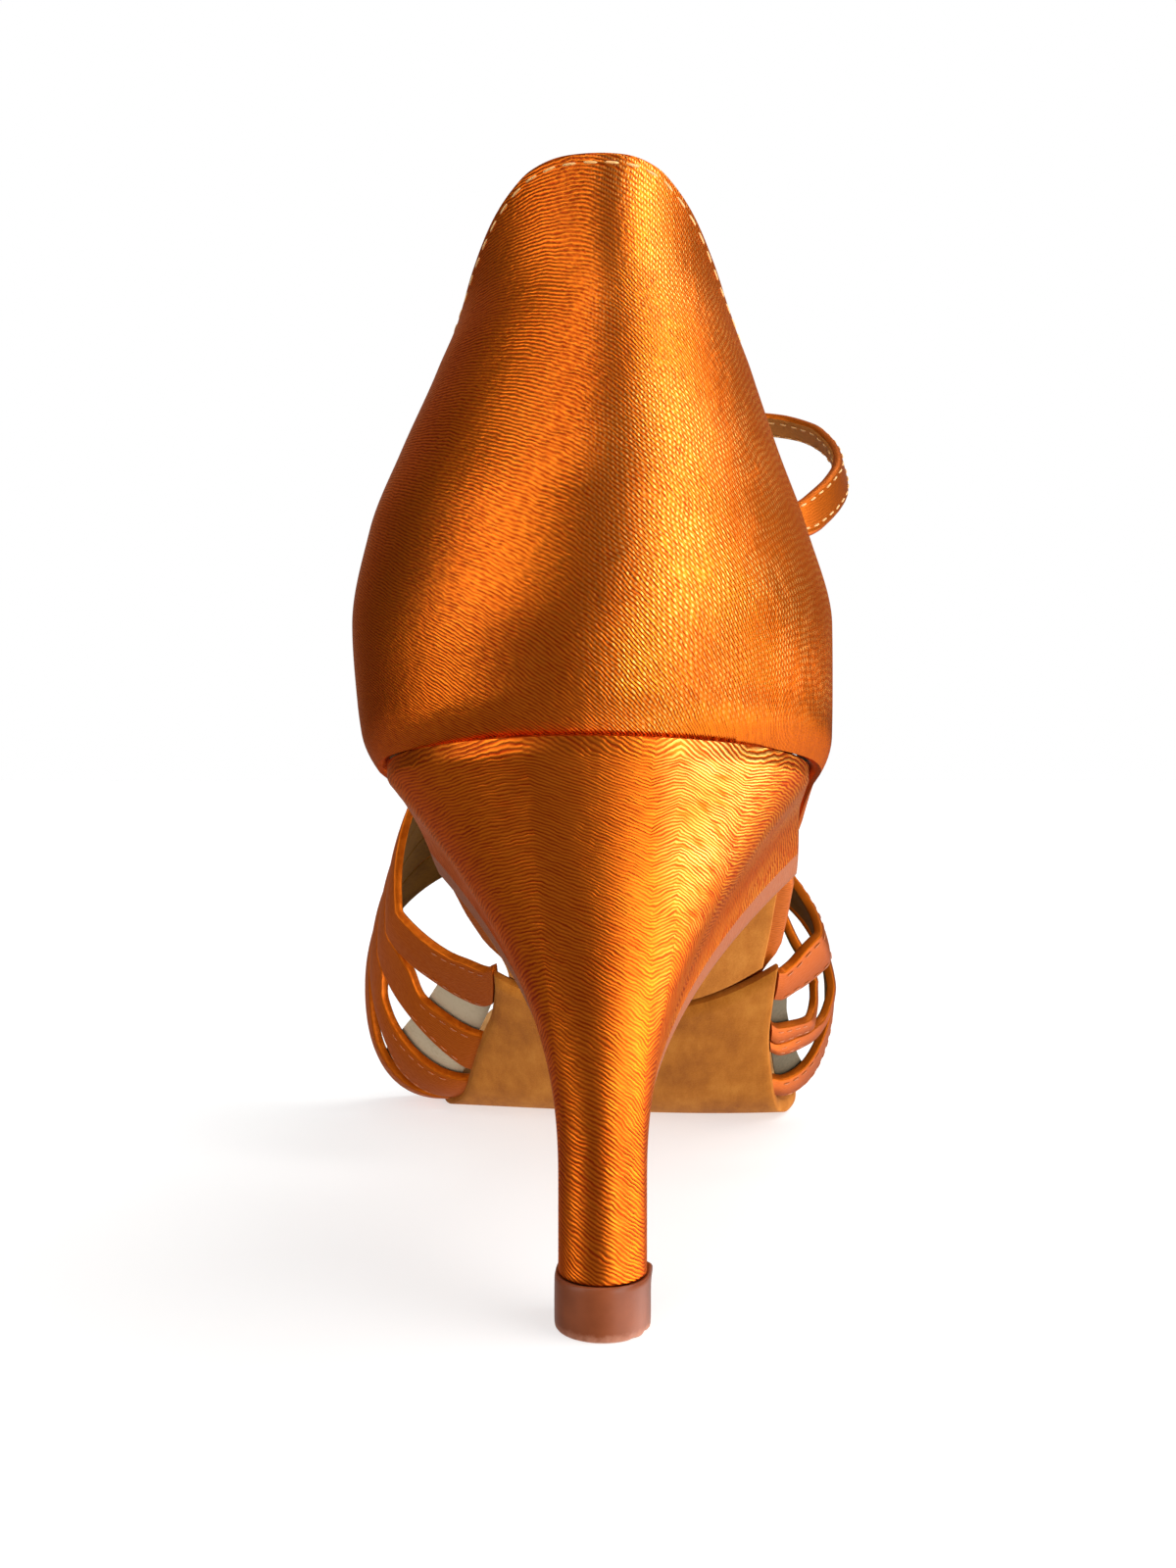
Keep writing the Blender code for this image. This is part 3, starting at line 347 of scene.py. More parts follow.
TIP_MARKS = (
    # turn, its spread, z, its spread, growth, rise: a burr on the rim and two chips in the lower edge
    (1.75, 0.16, 6.5, 0.9, 0.05, 0.25),
    (1.2, 0.13, 0.2, 0.5, -0.06, 0.0),
    (0.75, 0.1, 0.2, 0.4, -0.036, 0.0),
)
STRAP_STITCHES = (
    # for each strap: edge (0 rear, 1 front), from share, to share
    ((0, 0.02, 0.14), (0, 0.72, 0.985), (1, 0.72, 0.985), (1, 0.02, 0.14)),
    ((0, 0.02, 0.12), (1, 0.02, 0.12), (0, 0.88, 0.985), (1, 0.88, 0.985)),
    ((0, 0.02, 0.12), (1, 0.02, 0.12), (0, 0.9, 0.985), (1, 0.9, 0.985)),
    ((0, 0.02, 0.14), (1, 0.02, 0.3), (0, 0.88, 0.985), (1, 0.7, 0.985)),
)
BOARD_INSETS = (
    # y, how far the board stays inside the feather edge
    (HEEL_BACK_Y, COUNTER_WALL + 1.2),
    (-5.0, COUNTER_WALL + 0.6),
    (10.0, COUNTER_WALL + 0.2),
    (40.0, COUNTER_WALL + 0.9),
    (48.0, -BOARD_OVERHANG),
    (62.0, -BOARD_OVERHANG),
    (69.0, BOARD_LEDGE),
    (127.0, BOARD_LEDGE),
    (140.0, 0.2),
    (TOE_Y, 0.2),
)

# ---- surfaces ------------------------------------------------------------------------------------------


def smooth(table, column, at):
    """A column of a table at values of its first column, on a smooth curve that never overshoots."""
    rows = np.array(table, float)
    x, y = rows[:, 0], rows[:, column]
    run = np.diff(x)
    slope = np.diff(y) / run
    bend = slope[:-1] * slope[1:]
    weight = run[:-1] + run[1:]
    inner = np.where(
        bend > 0,
        bend * weight / np.where(bend > 0, slope[1:] * run[:-1] + slope[:-1] * run[1:], 1.0),
        0.0,
    )
    ends = np.concatenate([slope[:1], inner, slope[-1:]])
    at = np.clip(np.asarray(at, float), x[0], x[-1])
    i = np.clip(np.searchsorted(x, at, side="right") - 1, 0, len(run) - 1)
    t = (at - x[i]) / run[i]
    blend = t * t * (3 - 2 * t)
    lean = run[i] * (ends[i] * t * (1 - t) ** 2 - ends[i + 1] * t * t * (1 - t))
    return y[i] + (y[i + 1] - y[i]) * blend + lean


def rounded_profile(corners, steps=24):
    """A line through corners of (y, z, radius), each rounded with its radius, as points (y, z)."""
    path = [np.array(corners[0][:2])]
    for before, here, after in zip(corners, corners[1:], corners[2:]):
        corner = np.array(here[:2])
        back = np.array(before[:2]) - corner
        ahead = np.array(after[:2]) - corner
        back /= np.linalg.norm(back)
        ahead /= np.linalg.norm(ahead)
        half = 0.5 * math.acos(float(np.clip(back @ ahead, -1, 1)))
        reach = here[2] / math.tan(half)
        centre = corner + (back + ahead) / np.linalg.norm(back + ahead) * here[2] / math.sin(half)
        start = corner + back * reach - centre
        end = corner + ahead * reach - centre
        turn = math.acos(float(np.clip(start @ end / here[2] ** 2, -1, 1)))
        for k in range(steps + 1):
            share = k / steps
            arm = (start * math.sin((1 - share) * turn) + end * math.sin(share * turn)) / math.sin(turn)
            path.append(centre + arm)
    path.append(np.array(corners[-1][:2]))
    return np.array(path)


PROFILE_LINE = rounded_profile(PROFILE)


def profile_z(y, x=0.0):
    skewed = y + BALL_SKEW * x * smooth(SKEW_SHARE, 1, y)
    return np.interp(skewed, PROFILE_LINE[:, 0], PROFILE_LINE[:, 1])


def profile_slope(y):
    return profile_z(y + 0.5) - profile_z(y - 0.5)


def outline(y, inset=0.0):
    """(inner x, outer x) of the feather edge at y, drawn in by inset all round."""
    y = np.asarray(y, float)
    centre = smooth(OUTLINE, 1, y)
    half = smooth(OUTLINE, 2, y) - inset
    back = (HEEL_ROUND_Y - y) / (HEEL_ROUND_Y - HEEL_BACK_Y - inset)
    toe = (y - TOE_ROUND_Y) / (TOE_Y - TOE_ROUND_Y - inset)
    for end in (back, toe):
        half = half * np.sqrt(np.clip(1 - np.clip(end, 0, 1) ** 2, 0, 1))
    return centre - half, centre + half


def feather_z(x, y):
    share = np.minimum(1.0, np.abs(x - smooth(OUTLINE, 1, y)) / smooth(OUTLINE, 2, y))
    return profile_z(y, x) + smooth(CAMBER, 1, y) * share**2.5


def below_feather(x, y, depth):
    """Points this far under the feather surface, square to it."""
    slope = profile_slope(y)
    length = np.hypot(1.0, slope)
    return np.stack([x + 0 * y, y + depth * slope / length, feather_z(x, y) - depth / length], -1)


def line_across(centre_y, edge_y, share, slant=0.0):
    """y of a curved line across the sole, for a share from -1 at its inner end to 1 at its outer end."""
    return centre_y + (edge_y - centre_y) * np.abs(share) ** LINE_BEND + slant * share


def stem_section(angle, grow=0.0):
    """A point of the tip's section: round at the back and squarer towards the breast."""
    x, y = np.sin(angle), -np.cos(angle)
    flat_x = np.copysign(np.sqrt(np.abs(x)), x)
    flat_y = np.sqrt(np.clip(y, 0, None))
    scale = 1 / np.maximum(1e-9, (flat_x**4 + flat_y**4) ** 0.25)
    x, y = np.where(y > 0, flat_x * scale, x), np.where(y > 0, flat_y * scale, y)
    return (TIP_HALF_WIDTH + grow) * x, (TIP_HALF_LENGTH + grow) * y


def seat_section(angle):
    """A point of the heel's top edge: the seat's outline, with a hollow breast between two wings."""
    turn, side = np.abs(angle), np.copysign(1.0, angle)
    wing_y = BREAST_EDGE_Y - WING_STAND_BACK
    part = turn / WING_ANGLE
    bend = 0.5 * np.pi * np.clip(part / SEAT_BACK_SHARE, 0, 1)
    along = np.clip((part - SEAT_BACK_SHARE) / (1 - SEAT_BACK_SHARE), 0, 1)
    y = np.where(
        part < SEAT_BACK_SHARE,
        HEEL_ROUND_Y - (HEEL_ROUND_Y - HEEL_BACK_Y) * np.cos(bend),
        HEEL_ROUND_Y + (wing_y - HEEL_ROUND_Y) * along,
    )
    left, right = outline(y)
    half = smooth(OUTLINE, 2, HEEL_ROUND_Y) * np.sin(bend)
    edge = np.where(side > 0, right, left)
    x = np.where(part < SEAT_BACK_SHARE, 0.5 * (left + right) + side * half, edge)
    share = 1 - (turn - WING_ANGLE) / (np.pi - WING_ANGLE)
    breast_y = line_across(BREAST_CENTRE_Y, wing_y, share)
    left, right = outline(breast_y)
    breast_x = 0.5 * (left + right) + side * 0.5 * (right - left) * share
    front = turn >= WING_ANGLE
    return np.where(front, breast_x, x), np.where(front, breast_y, y)


def heel_point(part, angle):
    """A point of the heel's side. part runs from 0 at the stem's foot to 1 at the seat."""
    share = np.clip((part - FLARE_START) / (FLARE_END - FLARE_START), 0, 1)
    towards_breast = 0.5 - 0.5 * np.cos(angle)
    power = BACK_FLARE_POWER + (BREAST_FLARE_POWER - BACK_FLARE_POWER) * towards_breast
    flare = share**power * (1 + FLARE_GAIN - FLARE_GAIN * share)
    foot_x, foot_y = stem_section(angle, -STEM_INSET)
    head_x, head_y = seat_section(angle)
    top = feather_z(head_x, head_y) - GAP
    x = foot_x + (head_x - foot_x) * flare
    y = foot_y + (head_y - foot_y) * flare
    return np.stack([x, y, TIP_HEIGHT + GAP + (top - TIP_HEIGHT - GAP) * part], -1)


def cup_point(turn, z):
    """A point of the heel cup. turn runs from -1 at the inner front edge over 0, the back, to 1."""
    turn, z = np.broadcast_arrays(np.asarray(turn, float), np.asarray(z, float))
    half = np.where(turn < 0, smooth(CUP, 2, z), smooth(CUP, 3, z))
    back = smooth(CUP, 1, z)
    seat = profile_z(COUNTER_WIDEST_Y)
    back_seat = profile_z(HEEL_BACK_Y)
    share = np.abs(turn)
    round_part = share < CUP_BEND_SHARE
    bend = 0.5 * np.pi * np.clip(share / CUP_BEND_SHARE, 0, 1)
    along = np.clip((share - CUP_BEND_SHARE) / (1 - CUP_BEND_SHARE), 0, None)
    front = smooth(CUP_FRONT, 1, z)
    narrow = np.interp(z, CUP_NARROW_Z, (0.0, CUP_NARROW))
    y_back = COUNTER_WIDEST_Y - (COUNTER_WIDEST_Y - back) * np.cos(bend)
    y_side = COUNTER_WIDEST_Y + (front - COUNTER_WIDEST_Y) * along
    y = np.where(round_part, y_back, y_side)
    x = np.where(round_part, half * np.sin(bend), half * (1 - narrow * along**2))
    base = np.where(round_part, seat + (back_seat - seat) * np.cos(bend), profile_z(y_side))
    roll = np.clip(1 - np.clip(z - base, 0, None) / ROLL_HEIGHT, 0, None)
    scale = 1 - ROLL_DEPTH * roll**2 / half
    x = x * scale
    y = COUNTER_WIDEST_Y + (y - COUNTER_WIDEST_Y) * np.where(y < COUNTER_WIDEST_Y, scale, 1.0)
    return np.stack([np.copysign(x, turn), y, z], -1)


def cup_heights(turn):
    """Heights of the cup's lower edge and of its topline, found by steps from rough heights."""
    low, high = np.full(np.shape(turn), 70.0), np.full(np.shape(turn), 120.0)
    for _ in range(20):
        place = cup_point(turn, low)
        low = feather_z(place[..., 0], place[..., 1]) - 0.1
        high = smooth(TOPLINE, 1, cup_point(turn, high)[..., 1])
    return low, high


def unit(vectors):
    return vectors / np.linalg.norm(vectors, axis=-1, keepdims=True)


def cup_normal(turn, z):
    turn_step, z_step = 0.01, 0.5
    near = np.clip(turn, -1.0, 1.0 - turn_step)
    around = cup_point(near + turn_step, z) - cup_point(near, z)
    up = cup_point(turn, z + z_step) - cup_point(turn, z)
    return unit(np.cross(around, up))


def last_point(share, y):
    """A point of the last's forefoot. share runs from 0 at the inner feather edge over the top to 1."""
    share, y = np.broadcast_arrays(np.asarray(share, float), np.asarray(y, float))
    inner = share < 0.5
    top_x, top_z = smooth(FOREFOOT, 3, y), smooth(FOREFOOT, 4, y)
    bulge_x = np.where(inner, smooth(FOREFOOT, 1, y), smooth(FOREFOOT, 5, y))
    bulge_z = np.where(inner, smooth(FOREFOOT, 2, y), smooth(FOREFOOT, 6, y))
    fullness = np.where(inner, INNER_FULLNESS, smooth(OUTER_FULLNESS, 1, y))
    from_edge = np.where(inner, share, 1 - share)
    edges = outline(y, -GAP)
    edge_x = np.where(inner, edges[0], edges[1])
    edge_z = feather_z(edge_x, y)
    power = np.where(inner, smooth(LOW_ROUNDNESS, 1, y), smooth(LOW_ROUNDNESS, 2, y))
    low = np.clip(from_edge / TUCK_SHARE, 0, 1)
    down = np.clip(np.sin(TUCK_ANGLE * (1 - low)) / math.sin(TUCK_ANGLE), 0, 1)
    out = np.clip(1 - down**power, 0, 1) ** (1 / power)
    x_low = edge_x + (bulge_x - edge_x) * out
    z_low = bulge_z - (bulge_z - edge_z) * down
    rise = 0.5 * np.pi * np.clip((from_edge - TUCK_SHARE) / (0.5 - TUCK_SHARE), 0, 1)
    x_high = top_x + (bulge_x - top_x) * np.clip(np.cos(rise), 0, 1) ** fullness
    z_high = bulge_z + (top_z - bulge_z) * np.sin(rise) ** fullness
    is_low = from_edge < TUCK_SHARE
    return np.stack([np.where(is_low, x_low, x_high), y, np.where(is_low, z_low, z_high)], -1)


def last_normal(share, y):
    share_step, y_step = 0.006, 0.6
    near, far = np.clip(share - share_step, 0, 1), np.clip(share + share_step, 0, 1)
    across = last_point(far, y) - last_point(near, y)
    along = last_point(share, y + y_step) - last_point(share, y - y_step)
    return unit(np.cross(across, along))


def strap_edges(share):
    """y of the eight strap edges at each share of the way over the foot, one row for each share."""
    edges = np.stack([smooth(STRAPS, column, share) for column in range(1, 9)], -1)
    for j in (1, 3, 5):
        shut = edges[:, j + 1] - edges[:, j] < SMALLEST_SLIT
        middle = 0.5 * (edges[:, j] + edges[:, j + 1])
        edges[:, j] = np.where(shut, middle, edges[:, j])
        edges[:, j + 1] = np.where(shut, middle, edges[:, j + 1])
    return edges


def smooth_path(rows, count):
    """count points, evenly spaced along a smooth curve through the rows, with every column followed."""
    table = np.array(rows, float)
    padded = np.vstack([2 * table[0] - table[1], table, 2 * table[-1] - table[-2]])
    dense, fine = [], 16
    for i in range(len(table) - 1):
        a, b, c, d = padded[i : i + 4]
        for k in range(fine):
            t = k / fine
            second, third = 2 * a - 5 * b + 4 * c - d, 3 * b - a - 3 * c + d
            dense.append(0.5 * (2 * b + (c - a) * t + second * t**2 + third * t**3))
    dense.append(table[-1])
    dense = np.array(dense)
    length = np.concatenate([[0], np.cumsum(np.linalg.norm(np.diff(dense[:, :3], axis=0), axis=1))])
    at = np.linspace(0, length[-1], count)
    return np.stack([np.interp(at, length, dense[:, c]) for c in range(dense.shape[1])], axis=1)


def directions(path):
    return unit(np.gradient(path, axis=0))


def cup_turn(side, y, z):
    """The turn of the cup at y, on its inner side for -1 and its outer side for 1."""
    front = float(smooth(CUP_FRONT, 1, z))
    along = (y - COUNTER_WIDEST_Y) / (front - COUNTER_WIDEST_Y)
    return side * (CUP_BEND_SHARE + (1 - CUP_BEND_SHARE) * along)


def ankle_frame(count):
    """Middle line of the ankle strap, with the directions of its width and of its outer face."""
    seats = []
    for side, y, z, lean, out in ANKLE_SEATS:
        turn = cup_turn(side, y, z)
        depth = SEAT_CLEARANCE + 0.5 * ANKLE_THICKNESS + (COUNTER_WALL if out < 0 else 0.0)
        seats.append((*(cup_point(turn, z) + cup_normal(turn, z) * depth * out), lean))
    rows = smooth_path(seats[:2] + list(ANKLE_PATH) + seats[2:], count)
    path = rows[:, :3]
    tangents = directions(path)
    lean = np.radians(rows[:, 3])[:, None]
    level = unit(np.cross(tangents, (0.0, 0.0, 1.0)))
    up = np.cross(level, tangents)
    return path, up * np.cos(lean) + level * np.sin(lean), up * np.sin(lean) - level * np.cos(lean)


def arc(points, axis=0):
    """Length along one axis of a grid of points, from its start."""
    steps = np.linalg.norm(np.diff(points, axis=axis), axis=-1)
    zero = np.zeros_like(np.take(steps, [0], axis=axis))
    return np.concatenate([zero, np.cumsum(steps, axis=axis)], axis=axis)

# ---- pieces ---------------------------------------------------------------------------------------------


def make_object(name, points, faces, uvs, face_mats, mats, sharp=50.0):
    """A smooth-shaded mesh from points in millimetres. uvs are per point, in millimetres along the cloth."""
    mesh = bpy.data.meshes.new(name)
    mesh.from_pydata((np.asarray(points, float).reshape(-1, 3) * MM).tolist(), [], faces)
    for mat in mats:
        mesh.materials.append(mat)
    mesh.polygons.foreach_set("material_index", np.asarray(face_mats or [0] * len(faces), np.int32))
    layer = mesh.uv_layers.new(name="cloth")
    corner = np.empty(len(mesh.loops), np.int32)
    mesh.loops.foreach_get("vertex_index", corner)
    layer.data.foreach_set("uv", np.asarray(uvs, np.float32).reshape(-1, 2)[corner].reshape(-1))
    shape = bmesh.new()
    shape.from_mesh(mesh)
    bmesh.ops.remove_doubles(shape, verts=shape.verts, dist=2e-6)
    bmesh.ops.dissolve_degenerate(shape, edges=shape.edges, dist=1e-6)
    shape.to_mesh(mesh)
    shape.free()
    mesh.polygons.foreach_set("use_smooth", [True] * len(mesh.polygons))
    mesh.set_sharp_from_angle(angle=math.radians(sharp))
    obj = bpy.data.objects.new(name, mesh)
    bpy.context.scene.collection.objects.link(obj)
    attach(obj, "root")
    return obj


def ring_faces(rows, size, wrap=False):
    """Faces between rows of points, each row a closed ring. wrap also joins the last row to the first."""
    index = np.arange(rows * size).reshape(rows, size)
    if wrap:
        index = np.vstack([index, index[:1]])
    ahead = np.roll(index, -1, axis=1)
    return np.stack([index[:-1], ahead[:-1], ahead[1:], index[1:]], -1).reshape(-1, 4).tolist()


def capped_faces(rows, size):
    """The same, with one face over either end."""
    last = (rows - 1) * size
    return [*ring_faces(rows, size), list(range(size))[::-1], list(range(last, last + size))]


def tube(name, grid, uvs, loop_mats, mats, sharp=50.0):
    """A closed piece from stations of equal loops. Point i of a loop lies over point -1 - i, for the caps."""
    count, size = grid.shape[:2]
    sides = np.array(ring_faces(count, size))[:, [0, 3, 2, 1]]
    caps = np.array([(j, j + 1, size - 2 - j, size - 1 - j) for j in range(size // 2 - 1)])
    faces = np.concatenate([sides, caps, caps[:, ::-1] + (count - 1) * size])
    face_mats = loop_mats * (count - 1) + [0] * (2 * len(caps))
    points = grid.reshape(-1, 3)
    volume = 0.0
    for corners in (faces[:, :3], faces[:, [0, 2, 3]]):
        first, second, third = np.moveaxis(points[corners], 1, 0)
        volume += np.einsum("ij,ij->i", first, np.cross(second, third)).sum()
    if volume < 0:
        faces = faces[:, ::-1]
    return make_object(name, points, faces.tolist(), uvs, face_mats, mats, sharp)


def wall_loop(face_steps, edge_points=6):
    """Points round a flat wall's section, as (across, how far out of the side, depth), and a material each.

    across runs from 0 to 1 over the outer face, round the far edge, back over the inner face and round the
    near edge. The second number is -1 or 1 at the middle of a rounded edge. depth is 1 outside and 0 inside.
    """
    turn = np.pi * np.arange(1, edge_points + 1) / (edge_points + 1)
    face = np.linspace(0, 1, face_steps + 1)
    one = np.ones(edge_points)
    loop = np.concatenate(
        [
            np.stack([face, 0 * face, 0 * face + 1], -1),
            np.stack([one, np.sin(turn), 0.5 + 0.5 * np.cos(turn)], -1),
            np.stack([face[::-1], 0 * face, 0 * face], -1),
            np.stack([0 * one, -np.sin(turn), 0.5 - 0.5 * np.cos(turn)], -1),
        ]
    )
    kinds = [0] * (face_steps + edge_points - 1) + [1] * (face_steps + 4) + [0] * (edge_points - 1)
    half = edge_points // 2
    return np.roll(loop, half, axis=0), kinds[-half:] + kinds[:-half]


def stitches(name, lines, mat, length, pitch, radius, lift=0.05):
    """Rows of short threads. Each line is (points, directions off the surface), in millimetres."""
    turns, rings = 6, np.array((-1.0, -0.72, -0.25, 0.25, 0.72, 1.0))
    swell = np.sqrt(np.clip(1 - rings**4, 0, None))[:, None]
    angle = 2 * np.pi * np.arange(turns)[:, None] / turns
    uv = [(ring, j / turns) for ring in rings for j in range(turns)]
    thread_faces = capped_faces(len(rings), turns)
    points, faces, uvs = [], [], []
    for path, normals in lines:
        run = arc(path)
        number = int(run[-1] / pitch)
        for k in range(number):
            at = (k + 0.5) * run[-1] / number
            first = len(points)
            twist = 0.06 * math.sin(12.9898 * (k + 1) + 7.1 * first)
            middle, ahead, behind = (
                np.array([np.interp(at + step, run, path[:, c]) for c in range(3)]) for step in (0, 0.4, -0.4)
            )
            off = unit(np.array([np.interp(at, run, normals[:, c]) for c in range(3)]))
            along = unit(ahead - behind)
            side = np.cross(along, off)
            along = unit(along + side * twist)
            centres = middle + along * rings[:, None] * length / 2 + off * (lift + radius * (swell - 1) / 2)
            arms = side * np.cos(angle) + off * np.sin(angle) * 0.8
            grid = centres[:, None] + arms * (radius * np.maximum(swell, 0.25))[:, None]
            points.extend(grid.reshape(-1, 3))
            faces += [[first + i for i in face] for face in thread_faces]
            uvs += uv
    return make_object(name, points, faces, uvs, None, [mat], sharp=180)

# ---- materials ------------------------------------------------------------------------------------------
ORANGE = (0.8, 0.175, 0.009)
ORANGE_DARK = (0.34, 0.03, 0.001)
# colour of the painted highlights on the satin's floats
GLINT = (1.0, 0.5, 0.13)
GLINT_COLUMN = 0.6  # mm between the painted highlights on the floats round the counter
GLINT_ROW = 0.65  # and up it
# colour of the painted shade on the satin
PAINTED_SHADE_SATIN = (0.3, 0.062, 0.002)
HIGHLIGHT = (1.0, 0.42, 0.1, 1.0)
TIP_COLOUR = (0.26, 0.066, 0.022)
TIP_DARK = (0.19, 0.045, 0.014)
TIP_WORN = (0.42, 0.17, 0.1)
TIP_WORN_HEIGHT = 0.0016  # metres
METAL_COLOUR = (0.66, 0.64, 0.6)
METAL_WORN = (0.5, 0.48, 0.44)


class Nodes:
    """A node tree built node by node. Inputs given as numbers are set, and given as sockets are linked."""

    def __init__(self, tree):
        self.tree = tree

    def fill(self, node, inputs):
        for key, value in inputs.items():
            if isinstance(value, bpy.types.NodeSocket):
                self.tree.links.new(value, node.inputs[key])
            elif value is not None:
                node.inputs[key].default_value = value

    def node(self, kind, *inputs, **settings):
        node = self.tree.nodes.new("ShaderNode" + kind)
        for name, value in settings.items():
            setattr(node, name, value)
        self.fill(node, dict(enumerate(inputs)))
        return node

    def maths(self, operation, *inputs):
        return self.node("Math", *inputs, operation=operation).outputs[0]

    def plus(self, first, second):
        return self.maths("ADD", first, second)

    def times(self, first, second):
        return self.maths("MULTIPLY", first, second)

    def span(self, value, low, high, to_low=0.0, to_high=1.0):
        return self.node("MapRange", value, low, high, to_low, to_high).outputs[0]

    def axes(self, vector):
        return self.node("SeparateXYZ", vector).outputs

    def ramp(self, value, stops, interpolation="LINEAR"):
        node = self.node("ValToRGB", value)
        line = node.color_ramp
        line.interpolation = interpolation
        while len(line.elements) < len(stops):
            line.elements.new(0.5)
        for element, (at, colour) in zip(line.elements, stops):
            element.position = at
            element.color = (*colour, 1)
        return node.outputs[0]


class Shader(Nodes):
    """A material. place is where a point lies on the object, in metres."""

    def __init__(self, name, colour, rough, **sockets):
        self.material = bpy.data.materials.new(name)
        self.material.use_nodes = True
        super().__init__(self.material.node_tree)
        self.surface = self.tree.nodes["Principled BSDF"]
        self.place = self.node("TexCoord").outputs["Object"]
        self.set(Base_Color=(*colour, 1), Roughness=rough, **sockets)

    def set(self, **sockets):
        """Sets or links sockets of the surface, with _ for the spaces in their names."""
        self.fill(self.surface, {name.replace("_", " "): value for name, value in sockets.items()})

    def noise(self, scale, detail=2.0, rough=0.5, vector=None):
        vector = self.place if vector is None else vector
        return self.node("TexNoise", vector, None, scale, detail, rough).outputs[0]

    def blend(self, factor, first, second):
        node = self.node("Mix", factor, data_type="RGBA")
        for key, colour in ((6, first), (7, second)):
            self.fill(node, {key: (*colour, 1) if isinstance(colour, tuple) else colour})
        return node.outputs[2]

    def bump(self, height, strength, distance):
        node = self.node("Bump")
        self.fill(node, {"Height": height, "Strength": strength, "Distance": distance})
        self.set(Normal=node.outputs[0])


def painted_float_glints(cloth, u, moved, slow):
    """Painted highlights on the floats, in columns and in rows that slope half as much as the ribs, as on the
    counter.
    """
    rows = cloth.plus(cloth.times(cloth.axes(cloth.place)[2], 1 / MM), moved)
    rows = cloth.maths("SINE", cloth.times(rows, math.pi / GLINT_ROW))
    columns = cloth.plus(u, cloth.span(slow, 0.25, 0.75, -0.5, 0.5))
    columns = cloth.maths("SINE", cloth.times(columns, 2 * math.pi / GLINT_COLUMN))
    return cloth.times(cloth.span(rows, -0.3, 0.5), cloth.span(columns, -0.1, 0.6))


def satin(name, base, dark, pitch, relief, rough, metallic, wander=0.3, dash=1.1, coat=0.0, **marks):
    """Woven satin: fine uneven ribs across the cloth's second axis, each broken into short floats.

    Among the marks, grid_glints or rib_glints is the stretch of the cloth's first axis over which painted
    highlights on the floats fade in, in a grid or along the ribs. A third mark gives two x, in metres,
    between which painted shade turns the cloth brown, and hem two z between which painted shade turns its
    outer side brown too, where it is turned under. aniso stretches its highlights along the ribs.
    """
    cloth = Shader(name, base, rough, Metallic=metallic, Specular_IOR_Level=0.3, Specular_Tint=HIGHLIGHT)
    cloth.set(Coat_Weight=coat, Coat_Roughness=0.38)
    u, phase, _ = cloth.axes(cloth.node("UVMap", uv_map="cloth").outputs[0])
    slow, quick = cloth.noise(210.0), cloth.noise(900.0, 1.0)
    moved = cloth.plus(phase, cloth.span(slow, 0.25, 0.75, -wander, wander))
    moved = cloth.plus(moved, cloth.span(quick, 0.25, 0.75, -0.08, 0.08))
    rib = cloth.span(cloth.maths("SINE", cloth.times(moved, 2 * math.pi / pitch)), -1.0, 1.0)
    lane = cloth.node("CombineXYZ", cloth.times(u, 1.0 / dash), cloth.times(moved, 1.0 / pitch), 0.0)
    floats = cloth.span(cloth.noise(1.0, 1.0, vector=lane.outputs[0]), 0.3, 0.7)
    cloth.bump(cloth.plus(cloth.times(rib, 0.7), cloth.times(floats, 0.5)), relief, 0.00012)
    shade = cloth.plus(cloth.times(rib, 0.55), cloth.times(floats, 0.3))
    shade = cloth.plus(shade, cloth.span(cloth.noise(60.0, 3.0), 0.3, 0.7, -0.06, 0.12))
    colour = cloth.blend(cloth.span(shade, 0.05, 0.75), dark, base)
    # painted highlights: pale glints on the floats, fading in towards the cloth's lit right-hand side
    glints = marks.get("grid_glints") or marks.get("rib_glints")
    if glints:
        if "grid_glints" in marks:
            dots = painted_float_glints(cloth, u, moved, slow)
        else:
            dots = cloth.times(cloth.span(rib, 0.3, 0.8), cloth.span(floats, 0.0, 0.5))
        patches = cloth.span(cloth.noise(90.0), 0.35, 0.65, 0.25, 0.85)
        dots = cloth.times(dots, cloth.times(patches, cloth.span(u, *glints)))
        colour = cloth.blend(dots, colour, GLINT)
    # painted shade: the cloth turns brown towards the right-hand x
    if "browner" in marks:
        colour = cloth.blend(cloth.span(cloth.axes(cloth.place)[0], *marks["browner"]), colour, PAINTED_SHADE_SATIN)
    # painted shade: the outer side of the low, turned-under edge turns brown
    if "hem" in marks:
        low = cloth.span(cloth.axes(cloth.place)[2], *marks["hem"])
        colour = cloth.blend(cloth.times(low, cloth.span(u, 0.0, 12.0)), colour, PAINTED_SHADE_SATIN)
    cloth.set(Base_Color=colour, Roughness=cloth.span(floats, 0.0, 1.0, rough + 0.06, rough - 0.05))
    if "aniso" in marks:
        tangent = cloth.node("Tangent", direction_type="UV_MAP", uv_map="cloth")
        cloth.set(Anisotropic=marks["aniso"], Anisotropic_Rotation=0.25, Tangent=tangent.outputs[0])
    return cloth.material


